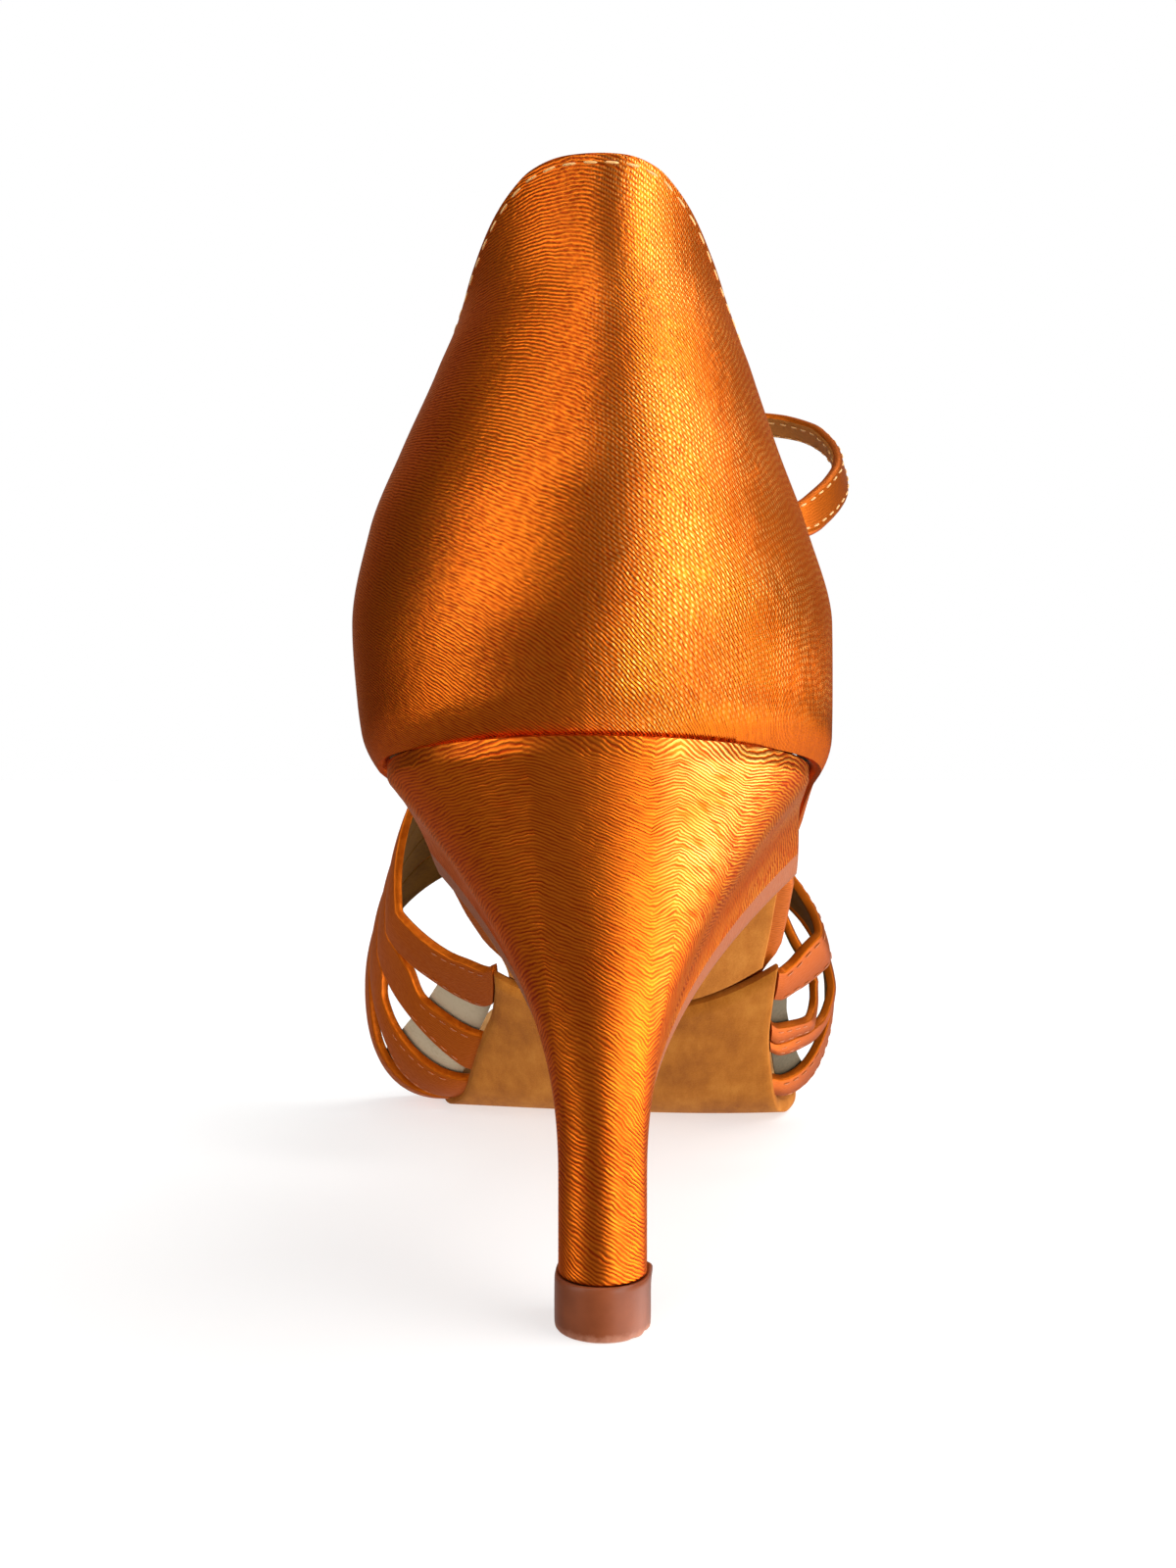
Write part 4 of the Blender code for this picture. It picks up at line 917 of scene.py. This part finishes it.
def suede(name, base, dark, pale):
    """Brushed leather: short nap lying in patches, darker where it is worn and dirty."""
    skin = Shader(name, base, 0.95, Specular_IOR_Level=0.05, Sheen_Weight=0.04, Sheen_Roughness=0.6)
    patches = skin.noise(75.0, 4.0, 0.6)
    nap = skin.noise(2600.0, 2.0, 0.7)
    stretched = skin.node("Mapping", skin.place, None, None, (1.0, 0.25, 0.35)).outputs[0]
    streak = skin.noise(420.0, 3.0, 0.6, stretched)
    tone = skin.plus(skin.span(patches, 0.3, 0.7, 0.0, 0.55), skin.span(streak, 0.3, 0.7, 0.0, 0.35))
    tone = skin.plus(tone, skin.span(nap, 0.3, 0.7, -0.08, 0.12))
    skin.set(Base_Color=skin.ramp(tone, ((0.12, dark), (0.5, base), (0.92, pale))))
    skin.bump(skin.plus(skin.times(nap, 0.6), skin.times(streak, 0.8)), 0.5, 0.0002)
    return skin.material


def lining(name, base, dark):
    """Thin lining leather."""
    skin = Shader(name, base, 0.7, Specular_IOR_Level=0.12)
    grain, patches = skin.noise(1500.0, 3.0, 0.6), skin.noise(120.0)
    tone = skin.plus(skin.span(grain, 0.3, 0.7, 0.0, 0.5), skin.span(patches, 0.3, 0.7, 0.0, 0.5))
    skin.set(Base_Color=skin.ramp(tone, ((0.1, dark), (0.6, base))))
    skin.bump(grain, 0.3, 0.0001)
    return skin.material


def thread(name, colour):
    yarn = Shader(name, colour, 0.5, Sheen_Weight=0.3)
    twist = yarn.noise(2600.0, 1.0)
    dark = tuple(0.75 * c for c in colour)
    yarn.set(Base_Color=yarn.blend(yarn.span(twist, 0.3, 0.7), dark, colour))
    yarn.bump(twist, 0.4, 0.00008)
    return yarn.material


def plastic():
    """Moulded heel tip: brown with a faint cloud and a soft gloss, scuffed and matt at its lower edge."""
    part = Shader("tip_plastic", TIP_COLOUR, 0.36, Specular_IOR_Level=0.2)
    part.set(Coat_Weight=0.04, Coat_Roughness=0.25)
    scuffs, cloud = part.noise(900.0, 4.0, 0.65), part.noise(240.0, 3.0)
    edge = part.span(part.axes(part.place)[2], 0.0, TIP_WORN_HEIGHT, 1.0, 0.0)
    worn = part.span(part.plus(edge, scuffs), 0.75, 1.35)
    tint = part.blend(part.span(cloud, 0.3, 0.7), TIP_DARK, TIP_COLOUR)
    part.set(Base_Color=part.blend(worn, tint, TIP_WORN), Roughness=part.span(worn, 0.0, 1.0, 0.34, 0.6))
    part.bump(scuffs, 0.12, 0.0001)
    return part.material


def metal():
    part = Shader("buckle_metal", METAL_COLOUR, 0.22, Metallic=1.0)
    wear = part.noise(1400.0, 4.0, 0.6)
    part.set(Roughness=part.span(wear, 0.3, 0.75, 0.16, 0.38))
    part.set(Base_Color=part.blend(part.span(wear, 0.35, 0.75), METAL_COLOUR, METAL_WORN))
    part.bump(wear, 0.08, 0.00005)
    return part.material


# the counter's glints are painted highlights on its right-hand part
SATIN = satin(
    "satin_counter", ORANGE, ORANGE_DARK, 0.54, 0.45, 0.34, 0.9, coat=0.05, aniso=0.4,
    # hem: painted shade on the outer side of the counter's low edge
    grid_glints=(-3.0, 8.0), hem=(0.0815, 0.0765),
)
# the heel's glints are painted highlights on its right-hand part
HEEL_SATIN = satin(
    "satin_heel", ORANGE, ORANGE_DARK, 0.54, 0.5, 0.34, 0.9, wander=0.35, dash=3.0, coat=0.05, aniso=0.4,
    rib_glints=(7.0, 15.0),
)
# painted shade turns the straps' right-hand part brown
STRAP_SATIN = satin(
    "satin_strap", (0.62, 0.13, 0.006), (0.46, 0.08, 0.003), 0.4, 0.15, 0.42, 0.5, browner=(0.02, 0.036)
)
BOARD_SATIN = satin("satin_board", (0.52, 0.12, 0.01), (0.33, 0.065, 0.004), 0.4, 0.15, 0.46, 0.4)
HEM = satin("satin_hem", (0.34, 0.085, 0.02), (0.28, 0.062, 0.014), 0.5, 0.04, 0.5, 0.0)
SUEDE = suede("suede", (0.38, 0.118, 0.009), (0.27, 0.074, 0.004), (0.48, 0.17, 0.02))
SHANK_SUEDE = suede("shank_suede", (0.46, 0.15, 0.018), (0.34, 0.1, 0.009), (0.58, 0.22, 0.035))
SOCK = suede("sock_suede", (0.42, 0.2, 0.06), (0.32, 0.14, 0.035), (0.5, 0.26, 0.09))
LINING = lining("lining", (0.135, 0.058, 0.005), (0.085, 0.034, 0.003))
# copies of the lining with painted light (pale) and painted shade (dark grey)
PAINTED_LIT_LINING = lining("painted_lit_lining", (0.56, 0.45, 0.3), (0.48, 0.37, 0.24))
PAINTED_SHADE_LINING = lining("painted_shade_lining", (0.115, 0.09, 0.055), (0.08, 0.062, 0.036))
ANKLE_LINING = lining("ankle_lining", (0.42, 0.155, 0.03), (0.34, 0.115, 0.02))
THREAD = thread("pale_thread", (0.87, 0.47, 0.14))
DARK_THREAD = thread("orange_thread", (0.56, 0.14, 0.012))
TIP = plastic()
METAL = metal()

# ---- counter --------------------------------------------------------------------------------------------


def cloth_phase(u, v):
    """Phase of the counter's ribs, in millimetres across them: they slope more towards the outer side."""
    return v + (0.62 - 0.013 * (v - 20)) * u + 0.015 * np.clip(u + 5, 0, None) ** 2


def make_counter():
    round_turns = EDGE_TURN * (1 - np.cos(np.linspace(0, 0.5 * np.pi, 8)))
    side_turns = np.linspace(-1 + EDGE_TURN, 1 - EDGE_TURN, COUNTER_STATIONS)[1:-1]
    turns = np.concatenate([-1 + round_turns, side_turns, (1 - round_turns)[::-1]])
    from_edge = np.clip((1 - np.abs(turns)) / EDGE_TURN, 0, 1)
    thin = np.sqrt(1 - (1 - from_edge) ** 2)
    low, high = cup_heights(turns)
    face, across = np.linspace(0, 1, COUNTER_LEVELS), 0.5 * np.pi * np.arange(1, 7) / 6
    over = COUNTER_ROUNDING * (1 - np.cos(across))
    under = np.array((0.3, 0.7))
    parts = np.concatenate([face, np.ones(12), face[::-1], 0 * under])
    top = COUNTER_ROUNDING * np.sin(across)
    rises = np.concatenate([0 * face, top, top[::-1], 0 * face, 0 * under - 0.25])
    depths = np.concatenate(
        [0 * face, over, COUNTER_WALL - over[::-1], 0 * face + COUNTER_WALL, COUNTER_WALL * (1 - under)]
    )
    kinds = [0] * (len(face) + 10) + [1] * (len(face) + 2) + [0] * 2
    parts, rises, depths = (np.roll(line, 1) for line in (parts, rises, depths))
    bottom = low - 0.05
    z = bottom[:, None] + (high - COUNTER_ROUNDING - bottom)[:, None] * parts + rises
    half = COUNTER_WALL / 2
    depth = half + (depths - half) * thin[:, None]
    turn = np.broadcast_to(turns[:, None], z.shape)
    grid = cup_point(turn, z) - cup_normal(turn, z) * depth[..., None]
    around = arc(grid[:, MIDDLE_LEVEL : MIDDLE_LEVEL + 1])
    u, v = around - around[len(turns) // 2] + 0 * z, arc(grid, axis=1)
    uvs = np.stack([u, cloth_phase(u, v)], -1)
    obj = tube("counter_skin", grid, uvs, kinds, [SATIN, LINING])
    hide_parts("counter")
    run = np.linspace(-TOPLINE_STITCHED_TURN, TOPLINE_STITCHED_TURN, 400)
    z = cup_heights(run)[1] - STITCH_BELOW_EDGE
    line = (cup_point(run, z), cup_normal(run, z))
    stitches("topline_stitches", [line], THREAD, length=1.75, pitch=2.5, radius=0.17, lift=0.0)


# ---- heel -----------------------------------------------------------------------------------------------


def full_turn(count):
    return -np.pi + 2 * np.pi * np.arange(count) / count


def make_heel():
    angles = full_turn(HEEL_TURNS)
    grid = heel_point(np.linspace(0, 1, HEEL_STATIONS)[:, None], angles[None, :])
    rim, low = grid[-1], grid[0]
    inward = unit((rim - (0.0, SEAT_MIDDLE_Y, 0.0)) * (1, 1, 0))
    centre = low.mean(axis=0)
    foot = [centre + (low - centre) * (1 - drawn) - (0, 0, depth) for drawn, depth in HEEL_FOOT]
    collar = [rim - inward * into + (0, 0, rise) for into, rise in HEEL_COLLAR]
    grid = np.array([*foot, *grid, *collar])
    height = arc(grid[:, ::8]).mean(axis=1)
    around = arc(grid, axis=1)
    middle = HEEL_TURNS // 2
    u = around - around[:, middle : middle + 1]
    uvs = np.stack([u, height[:, None] - np.interp(u, HEEL_WEAVE_U, HEEL_WEAVE_RISE)], -1)
    half_step = math.pi / HEEL_TURNS
    hem = [int(abs(angle + half_step) > WING_ANGLE - SMOOTH_HEM_TURN) for angle in angles]
    face_mats = hem * (len(grid) - 1) + [1] * (HEEL_TURNS * len(HEEL_TOP_RINGS)) + [0, 1]
    x = rim[:, 0] * np.array(HEEL_TOP_RINGS)[:, None]
    y = SEAT_MIDDLE_Y + (rim[:, 1] - SEAT_MIDDLE_Y) * np.array(HEEL_TOP_RINGS)[:, None]
    grid = np.concatenate([grid, np.stack([x, y, feather_z(x, y) - GAP], -1)])
    uvs = np.concatenate([uvs, np.stack([x, y], -1)])
    faces = capped_faces(len(grid), HEEL_TURNS)
    obj = make_object("heel_skin", grid, faces, uvs, face_mats, [HEEL_SATIN, HEM], sharp=70)
    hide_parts("heel")


def make_tip():
    """The plastic lift: a rolled top rim with a small burr at the outer side, and a worn lower edge."""
    angles = full_turn(TIP_TURNS)
    rings = []
    for z, grow in TIP_FINE_RINGS:
        x, y = stem_section(angles, grow)
        scale = 1.0
        rise = 0.035 * np.sin(3 * angles + 1.0) * math.exp(-(((z - 6.8) / 0.8) ** 2))
        for turn, turn_spread, height, spread, growth, lift in TIP_MARKS:
            mark = np.exp(-(((angles - turn) / turn_spread) ** 2) - ((z - height) / spread) ** 2)
            scale = scale + growth * mark
            rise = rise + lift * mark
        rings.append(np.stack([x * scale, y * scale, z + rise], -1))
    grid = np.array(rings)
    uvs = np.stack([arc(grid, axis=1), grid[..., 2]], -1)
    faces = capped_faces(len(grid), TIP_TURNS)
    obj = make_object("tip_sleeve", grid, faces, uvs, None, [TIP], sharp=60)
    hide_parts("heel_tip")


# ---- straps ---------------------------------------------------------------------------------------------


def strap_base(band, share, y):
    """Points of the last under a strap, and directions off it. The second strap sags where it twists."""
    point, normal = last_point(share, y), last_normal(share, y)
    if band == 1:
        point = point - normal * smooth(SECOND_STRAP_SAG, 1, share)[..., None]
    return point, normal


def make_strap(band, name):
    share = np.linspace(0, 1, STRAP_STATIONS)
    rear, front = (edge[:, None] for edge in strap_edges(share).T[2 * band : 2 * band + 2])
    loop, kinds = wall_loop(STRAP_COLUMNS)
    across, out, level = loop.T
    width = front - rear
    reach = np.minimum(STRAP_ROUNDING, 0.35 * width)
    y = rear + reach + (width - 2 * reach) * across + reach * out
    base, normal = strap_base(band, np.broadcast_to(share[:, None], y.shape), y)
    crown = STRAP_CROWN * np.sin(np.pi * np.clip(across, 0, 1)) * (level > 0.5)
    round_level = 0.5 + 0.5 * np.copysign(np.abs(2 * level - 1) ** 0.5, level - 0.5)
    depth = STRAP_LIFT + STRAP_THICKNESS * round_level + crown
    grid = base + normal * depth[:, None]
    first, last = (
        grid[end] + STRAP_TUCK * unit((grid[end] - grid[inner]).mean(axis=0))
        for end, inner in ((0, 2), (-1, -3))
    )
    grid = np.array([first, *grid, last])
    v = y - rear
    v = np.array([v[0], *v, v[-1]])
    uvs = np.stack([arc(grid[:, MIDDLE_LEVEL : MIDDLE_LEVEL + 1])[:, 0][:, None] + 0 * v, v], -1)
    tube(name, grid, uvs, kinds, [STRAP_SATIN, LINING])


def strap_stitch_line(band, edge, start, stop):
    run = np.linspace(start, stop, 300)
    y = strap_edges(run)[:, 2 * band + edge] + STRAP_STITCH_INSET * (1 - 2 * edge)
    base, normal = strap_base(band, run, y)
    return base + normal * (STRAP_LIFT + STRAP_THICKNESS + 0.1), normal


def make_straps():
    lines = []
    for band, name in enumerate(("strap_a", "strap_b", "strap_c", "strap_d")):
        make_strap(band, name)
        lines += [strap_stitch_line(band, *run) for run in STRAP_STITCHES[band]]
    stitches("strap_stitches", lines, DARK_THREAD, length=1.5, pitch=2.3, radius=0.12)


def make_t_bar():
    seats = []
    for y in TBAR_SEAT:
        depth = STRAP_LIFT + 1.5 * STRAP_THICKNESS - TBAR_SINK
        _, seat_y, seat_z = last_point(0.5, y) + last_normal(0.5, y) * depth
        seats.append((TBAR_X, seat_y, seat_z))
    path = smooth_path(seats + [(TBAR_X, y, z) for y, z in TBAR_PATH], 160)
    across = np.tile((1.0, 0.0, 0.0), (len(path), 1))
    normals = np.cross(directions(path), across)
    width = TBAR_WIDTH * np.interp(path[:, 2], TBAR_TAPER_Z, (1.0, TBAR_LOOP_WIDTH / TBAR_WIDTH))
    bar = ribbon("t_bar", path, across, normals, width, STRAP_THICKNESS, [STRAP_SATIN, STRAP_SATIN])
    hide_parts("vamp_straps")
    lines = []
    for side in (-1, 1):
        foot = path + across * (side * (0.5 * width - TBAR_STITCH_INSET))[:, None]
        lines.append((foot + normals * (STRAP_THICKNESS / 2 + STITCH_LIFT), normals))
    stitches("t_bar_stitches", lines, THREAD, length=1.5, pitch=2.3, radius=0.17)


def make_low_lining():
    """The lining's low edge inside the straps, which shows through the gaps between them, pale with painted
    light on the inner side and dark grey with painted shade on the outer side.
    """
    loop, kinds = wall_loop(10)
    for name, low, high, first, last, mat in (
        # piece, share over the foot at its two edges, y at its two ends, material
        ("lining_inner", 0.004, 0.115, 77.0, 116.0, PAINTED_LIT_LINING),
        ("lining_outer", 0.91, 0.996, 70.0, 104.0, PAINTED_SHADE_LINING),
    ):
        y = np.linspace(first, last, 60)[:, None] + 0 * loop[:, 0]
        share = low + (high - low) * loop[:, 0] + 0 * y
        depth = -LINING_DEPTH - LINING_THICKNESS * (1 - loop[:, 2])
        grid = last_point(share, y) + last_normal(share, y) * depth[:, None]
        tube(name, grid, np.stack([y, 60 * share], -1), kinds, [mat, mat])


def ribbon(name, path, across, normals, widths, thickness, mats):
    """A flat strap with rounded edges and ends, its outer face of one material and its inner of another."""
    loop, kinds = wall_loop(16)
    widths = np.broadcast_to(widths, (len(path),))
    run = arc(path)
    from_end = np.minimum(run, run[-1] - run)
    round_end = np.clip(from_end / (0.5 * thickness), 0, 1)
    thin = np.maximum(0.02, np.sqrt(1 - (1 - round_end) ** 2))
    offsets = (widths[:, None] - thickness) * (loop[:, 0] - 0.5) + 0.5 * thickness * loop[:, 1]
    lifts = thickness * (loop[:, 2] - 0.5) * thin[:, None]
    grid = path[:, None] + across[:, None] * offsets[..., None] + normals[:, None] * lifts[..., None]
    uvs = np.stack([run[:, None] + 0 * offsets, offsets], -1)
    return tube(name, grid, uvs, kinds, mats)


def make_ankle_strap():
    path, across, normals = ankle_frame(280)
    mats = [STRAP_SATIN, ANKLE_LINING]
    band = ribbon("ankle_band", path, across, normals, ANKLE_WIDTH, ANKLE_THICKNESS, mats)
    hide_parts("ankle_strap")
    lines = []
    for face in (-1, 1):
        for side in (-1, 1):
            foot = path + across * side * (0.5 * ANKLE_WIDTH - ANKLE_STITCH_INSET)
            lines.append((foot + normals * face * (ANKLE_THICKNESS / 2 + STITCH_LIFT), normals * face))
    stitches("ankle_stitches", lines, THREAD, length=1.3, pitch=2.2, radius=0.15)


def over_strap(along, across):
    """Points over the ankle strap's end, measured from the buckle's middle, and directions off it."""
    path, widths, normals = ankle_frame(240)
    length = arc(path)
    outer_end = path[:, 1] * (path[:, 0] > 0)
    last_turn = int(np.argmax(outer_end * (path[:, 2] < LOOP_BOTTOM_Z)))
    centre = float(np.interp(-BUCKLE_Y, -path[last_turn:, 1], length[last_turn:]))
    along, across = np.broadcast_arrays(along, across)
    place, width, normal = (
        np.stack([np.interp(centre + along, length, rows[:, c]) for c in range(3)], -1)
        for rows in (path, widths, normals)
    )
    normal = unit(normal)
    lift = 0.5 * ANKLE_THICKNESS + GAP + 0.5 * BUCKLE_THICKNESS
    return place + width * across[..., None] + normal * lift, normal


def make_buckle():
    """A ring of rounded bar bent to the strap, and the prong across it, both of bright metal."""
    angle = 2 * np.pi * np.arange(BUCKLE_TURNS) / BUCKLE_TURNS
    x, y = np.cos(angle), np.sin(angle)
    scale = (x**4 + y**4) ** -0.25
    bar = 2 * np.pi * np.arange(BAR_TURNS) / BAR_TURNS
    inset = 0.5 * BUCKLE_BAR * (1 - np.cos(bar))
    along = (x * scale)[:, None] * (BUCKLE_HALF_LENGTH - inset)
    across = (y * scale)[:, None] * (BUCKLE_HALF_HEIGHT - inset)
    place, normal = over_strap(along, across)
    grid = place + normal * (0.5 * BUCKLE_THICKNESS * np.sin(bar))[None, :, None]
    faces = ring_faces(BUCKLE_TURNS, BAR_TURNS, wrap=True)
    ring = make_object("buckle_ring", grid, faces, np.zeros((grid.size // 3, 2)), None, [METAL], 60)
    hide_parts("buckle_frame")
    reach = BUCKLE_HALF_LENGTH - BUCKLE_BAR - GAP
    along = np.linspace(-reach, reach, PRONG_STATIONS)
    place, normal = over_strap(along, 0 * along)
    width = np.cross(directions(place), normal)
    swell = np.maximum(0.05, np.sqrt(1 - np.linspace(-1, 1, PRONG_STATIONS) ** 12))[:, None, None]
    arms = 0.5 * PRONG_WIDTH * np.cos(bar)[None, :, None] * width[:, None] * swell
    rises = 0.5 * BUCKLE_THICKNESS * np.sin(bar)[None, :, None] * normal[:, None] * swell
    grid = place[:, None] + arms + rises
    prong = tube("prong", grid, np.zeros((grid.size // 3, 2)), [0] * BAR_TURNS, [METAL], 60)
    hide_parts("buckle_prong")


# ---- sole and insole ------------------------------------------------------------------------------------


def sheet_piece(
    name, start, end, depths, mat, slot, margin=0.0, board=False, edge=SHEET_EDGE, ease=0.0, crowd=0.0
):
    """A sheet with rounded edges between two depths below the feather surface.

    start and end are its two ends, each as y on the centre line, y at the edges and slant. It stays margin
    inside the feather edge, or inside the board's edge. ease crowds its stations towards its end, and crowd
    towards both ends.
    """
    loop, kinds = wall_loop(SHEET_COLUMNS)
    part = np.linspace(0, 1, SHEET_STATIONS)[:, None]
    run = (1 - crowd) * part + crowd * (0.5 - 0.5 * np.cos(np.pi * part))
    run = (1 - ease) * run + ease * np.sin(0.5 * np.pi * run)
    share = 2 * loop[:, 0] - 1
    first, last = (line_across(centre_y, edge_y, share, slant) for centre_y, edge_y, slant in (start, end))
    y = first + (last - first) * run
    left, right = outline(y, board_inset(y) + margin if board else margin)
    half = 0.5 * (right - left)
    reach = np.minimum(edge, 0.5 * half)
    x = 0.5 * (left + right) + (half - reach) * share + reach * loop[:, 1]
    from_end = np.minimum(part, 1 - part) * np.abs(last - first)
    round_end = np.clip(from_end / edge, 0, 1)
    thin = 1 - 0.5 * (1 - np.sqrt(1 - (1 - round_end) ** 2))
    top, bottom = depths
    grid = below_feather(x, y, 0.5 * (top + bottom) + (bottom - top) * (loop[:, 2] - 0.5) * thin)
    grid[..., 2] = np.maximum(grid[..., 2], 0.0)
    return tube(name, grid, np.stack([x, y], -1), kinds, [mat, mat])


def board_inset(y):
    return smooth(BOARD_INSETS, 1, y)


def insole_ends(margin):
    """The ends of a piece of the insole that stays margin inside the board's edge."""
    first = HEEL_BACK_Y + float(board_inset(HEEL_BACK_Y)) + margin + TOE_CLOSE
    last = TOE_Y - float(board_inset(TOE_Y)) - margin - TOE_CLOSE
    return (first, first, 0.0), (last, last, 0.0)


def make_sole():
    step, toe = (STEP_CENTRE_Y, STEP_EDGE_Y, STEP_SLANT), (TOE_Y - TOE_CLOSE, TOE_Y - TOE_CLOSE, 0.0)
    depths = (SOLE_TOP_GAP, SOLE_TOP_Z)
    outsole = sheet_piece(
        "suede_sole", step, toe, depths, SUEDE, "suede", edge=OUTSOLE_EDGE, ease=OUTSOLE_EASE
    )
    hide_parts("outsole")
    breast = (BREAST_CENTRE_Y + GAP, BREAST_EDGE_Y + GAP, 0.0)
    step = (STEP_CENTRE_Y - 0.1, STEP_EDGE_Y - 0.1, STEP_SLANT)
    depths = (GAP, GAP + SHANK_COVER_THICKNESS)
    cover = sheet_piece("suede_shank", breast, step, depths, SHANK_SUEDE, "suede", SHANK_COVER_INSET)
    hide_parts("shank_cover")
    sock = -BOARD_THICKNESS - GAP
    for name, depths, mat, slot, margin, edge, node in (
        ("wrapped_board", (-BOARD_THICKNESS, 0.0), BOARD_SATIN, "satin", 0.0, BOARD_EDGE, "insole_board"),
        ("sock_pad", (sock - SOCK_THICKNESS, sock), SOCK, "sock", SOCK_MARGIN, SOCK_EDGE, "insole_sock"),
    ):
        ends = insole_ends(margin)
        piece = sheet_piece(name, *ends, depths, mat, slot, margin, board=True, edge=edge, crowd=END_CROWDING)
        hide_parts(node)

# ---- the shoe -------------------------------------------------------------------------------------------

make_counter()
make_heel()
make_tip()
make_straps()
make_t_bar()
make_low_lining()
make_ankle_strap()
make_buckle()
make_sole()

# ---- floor, light and camera ----------------------------------------------------------------------------


def make_floor():
    bpy.ops.mesh.primitive_plane_add(size=8)
    floor = bpy.context.object
    floor.name = "floor"
    pale = Shader("floor", (0.5, 0.5, 0.5), 0.9, Specular_IOR_Level=0.1)
    pale.set(Emission_Color=(1, 1, 1, 1), Emission_Strength=0.6)
    cloud = pale.span(pale.noise(3.0), 0.3, 0.7)
    pale.set(Base_Color=pale.blend(cloud, (0.49, 0.49, 0.485), (0.51, 0.51, 0.505)))
    floor.data.materials.append(pale.material)
    floor.visible_glossy = False
    floor.visible_diffuse = False


UPPER_LIGHT = (
    # degrees round from the camera's side, at the height of the shoe, and brightness
    (-180, 0.3),
    (-155, 0.12),
    (-135, 0.08),
    (-120, 0.12),
    (-106, 0.6),
    (-93, 2.1),
    (-80, 3.0),
    (-67, 1.9),
    (-54, 0.4),
    (-40, 0.12),
    (-26, 0.12),
    (-12, 0.3),
    (2, 1.4),
    (14, 5.6),
    (24, 7.4),
    (34, 5.0),
    (46, 1.4),
    (60, 0.5),
    (80, 0.4),
    (100, 0.4),
    (130, 0.4),
    (180, 0.3),
)
LOWER_LIGHT = (
    # the same below the shoe's horizon
    (-180, 0.5),
    (-150, 0.36),
    (-120, 0.29),
    (-60, 0.29),
    (-20, 0.27),
    (0, 0.33),
    (12, 0.5),
    (22, 1.2),
    (38, 2.6),
    (58, 3.8),
    (80, 5.4),
    (104, 5.4),
    (125, 2.4),
    (148, 0.9),
    (165, 0.7),
    (180, 0.5),
)
LIGHT_PEAK = 11.0  # strength of the brightest light the tables can give
LEAN_HEIGHTS = (16.0, 66.0)  # degrees up between which the upper lights lean to the right
LEAN = 1.3  # how far they lean as they rise
LOWER_TOP, UPPER_BOTTOM = -14.0, -7.0  # degrees up between which the lower lights pass into the upper ones


def make_studio():
    """White all round to the eye, and tall soft lights with dark gaps between them for what they light."""
    world = bpy.data.worlds.new("studio")
    bpy.context.scene.world = world
    world.use_nodes = True
    sky = Nodes(world.node_tree)
    background = sky.tree.nodes["Background"]

    def strip(angle, table):
        stops = [((degrees + 180) / 360, (bright / LIGHT_PEAK,) * 3) for degrees, bright in table]
        return sky.ramp(sky.span(angle, -math.pi, math.pi), stops, "CARDINAL")

    x, y, z = sky.axes(sky.node("TexCoord").outputs["Generated"])
    round_angle = sky.maths("ARCTAN2", x, sky.times(y, -1.0))
    rise = sky.maths("ARCSINE", z)
    first, last = (math.radians(height) for height in LEAN_HEIGHTS)
    lean = sky.span(rise, first, last, LEAN * first, LEAN * last)
    leaning = sky.maths("WRAP", sky.maths("SUBTRACT", round_angle, lean), -math.pi, math.pi)
    part = sky.span(rise, math.radians(LOWER_TOP), math.radians(UPPER_BOTTOM))
    lower, upper = strip(round_angle, LOWER_LIGHT), strip(leaning, UPPER_LIGHT)
    bright = sky.node("Mix", part, None, lower, upper, data_type="FLOAT").outputs[0]
    sky.fill(background, {"Color": (1, 1, 1, 1), "Strength": sky.times(bright, LIGHT_PEAK)})
    white = sky.node("Background", (1, 1, 1, 1), 1.0)
    eye = sky.node("LightPath").outputs["Is Camera Ray"]
    seen = sky.node("MixShader", eye, background.outputs[0], white.outputs[0])
    sky.fill(sky.tree.nodes["World Output"], {0: seen.outputs[0]})


def make_camera():
    camera = bpy.data.objects.new("camera", bpy.data.cameras.new("camera"))
    bpy.context.scene.collection.objects.link(camera)
    camera.location = (0.0070, -0.1847, 0.0731)
    camera.rotation_euler = (math.radians(88.9), 0, math.radians(2.75))
    camera.data.lens = 33.28
    camera.data.sensor_width = 36
    camera.data.clip_start = 0.005
    bpy.context.scene.camera = camera


make_floor()
make_studio()
make_camera()
bpy.context.scene.view_settings.view_transform = "Standard"
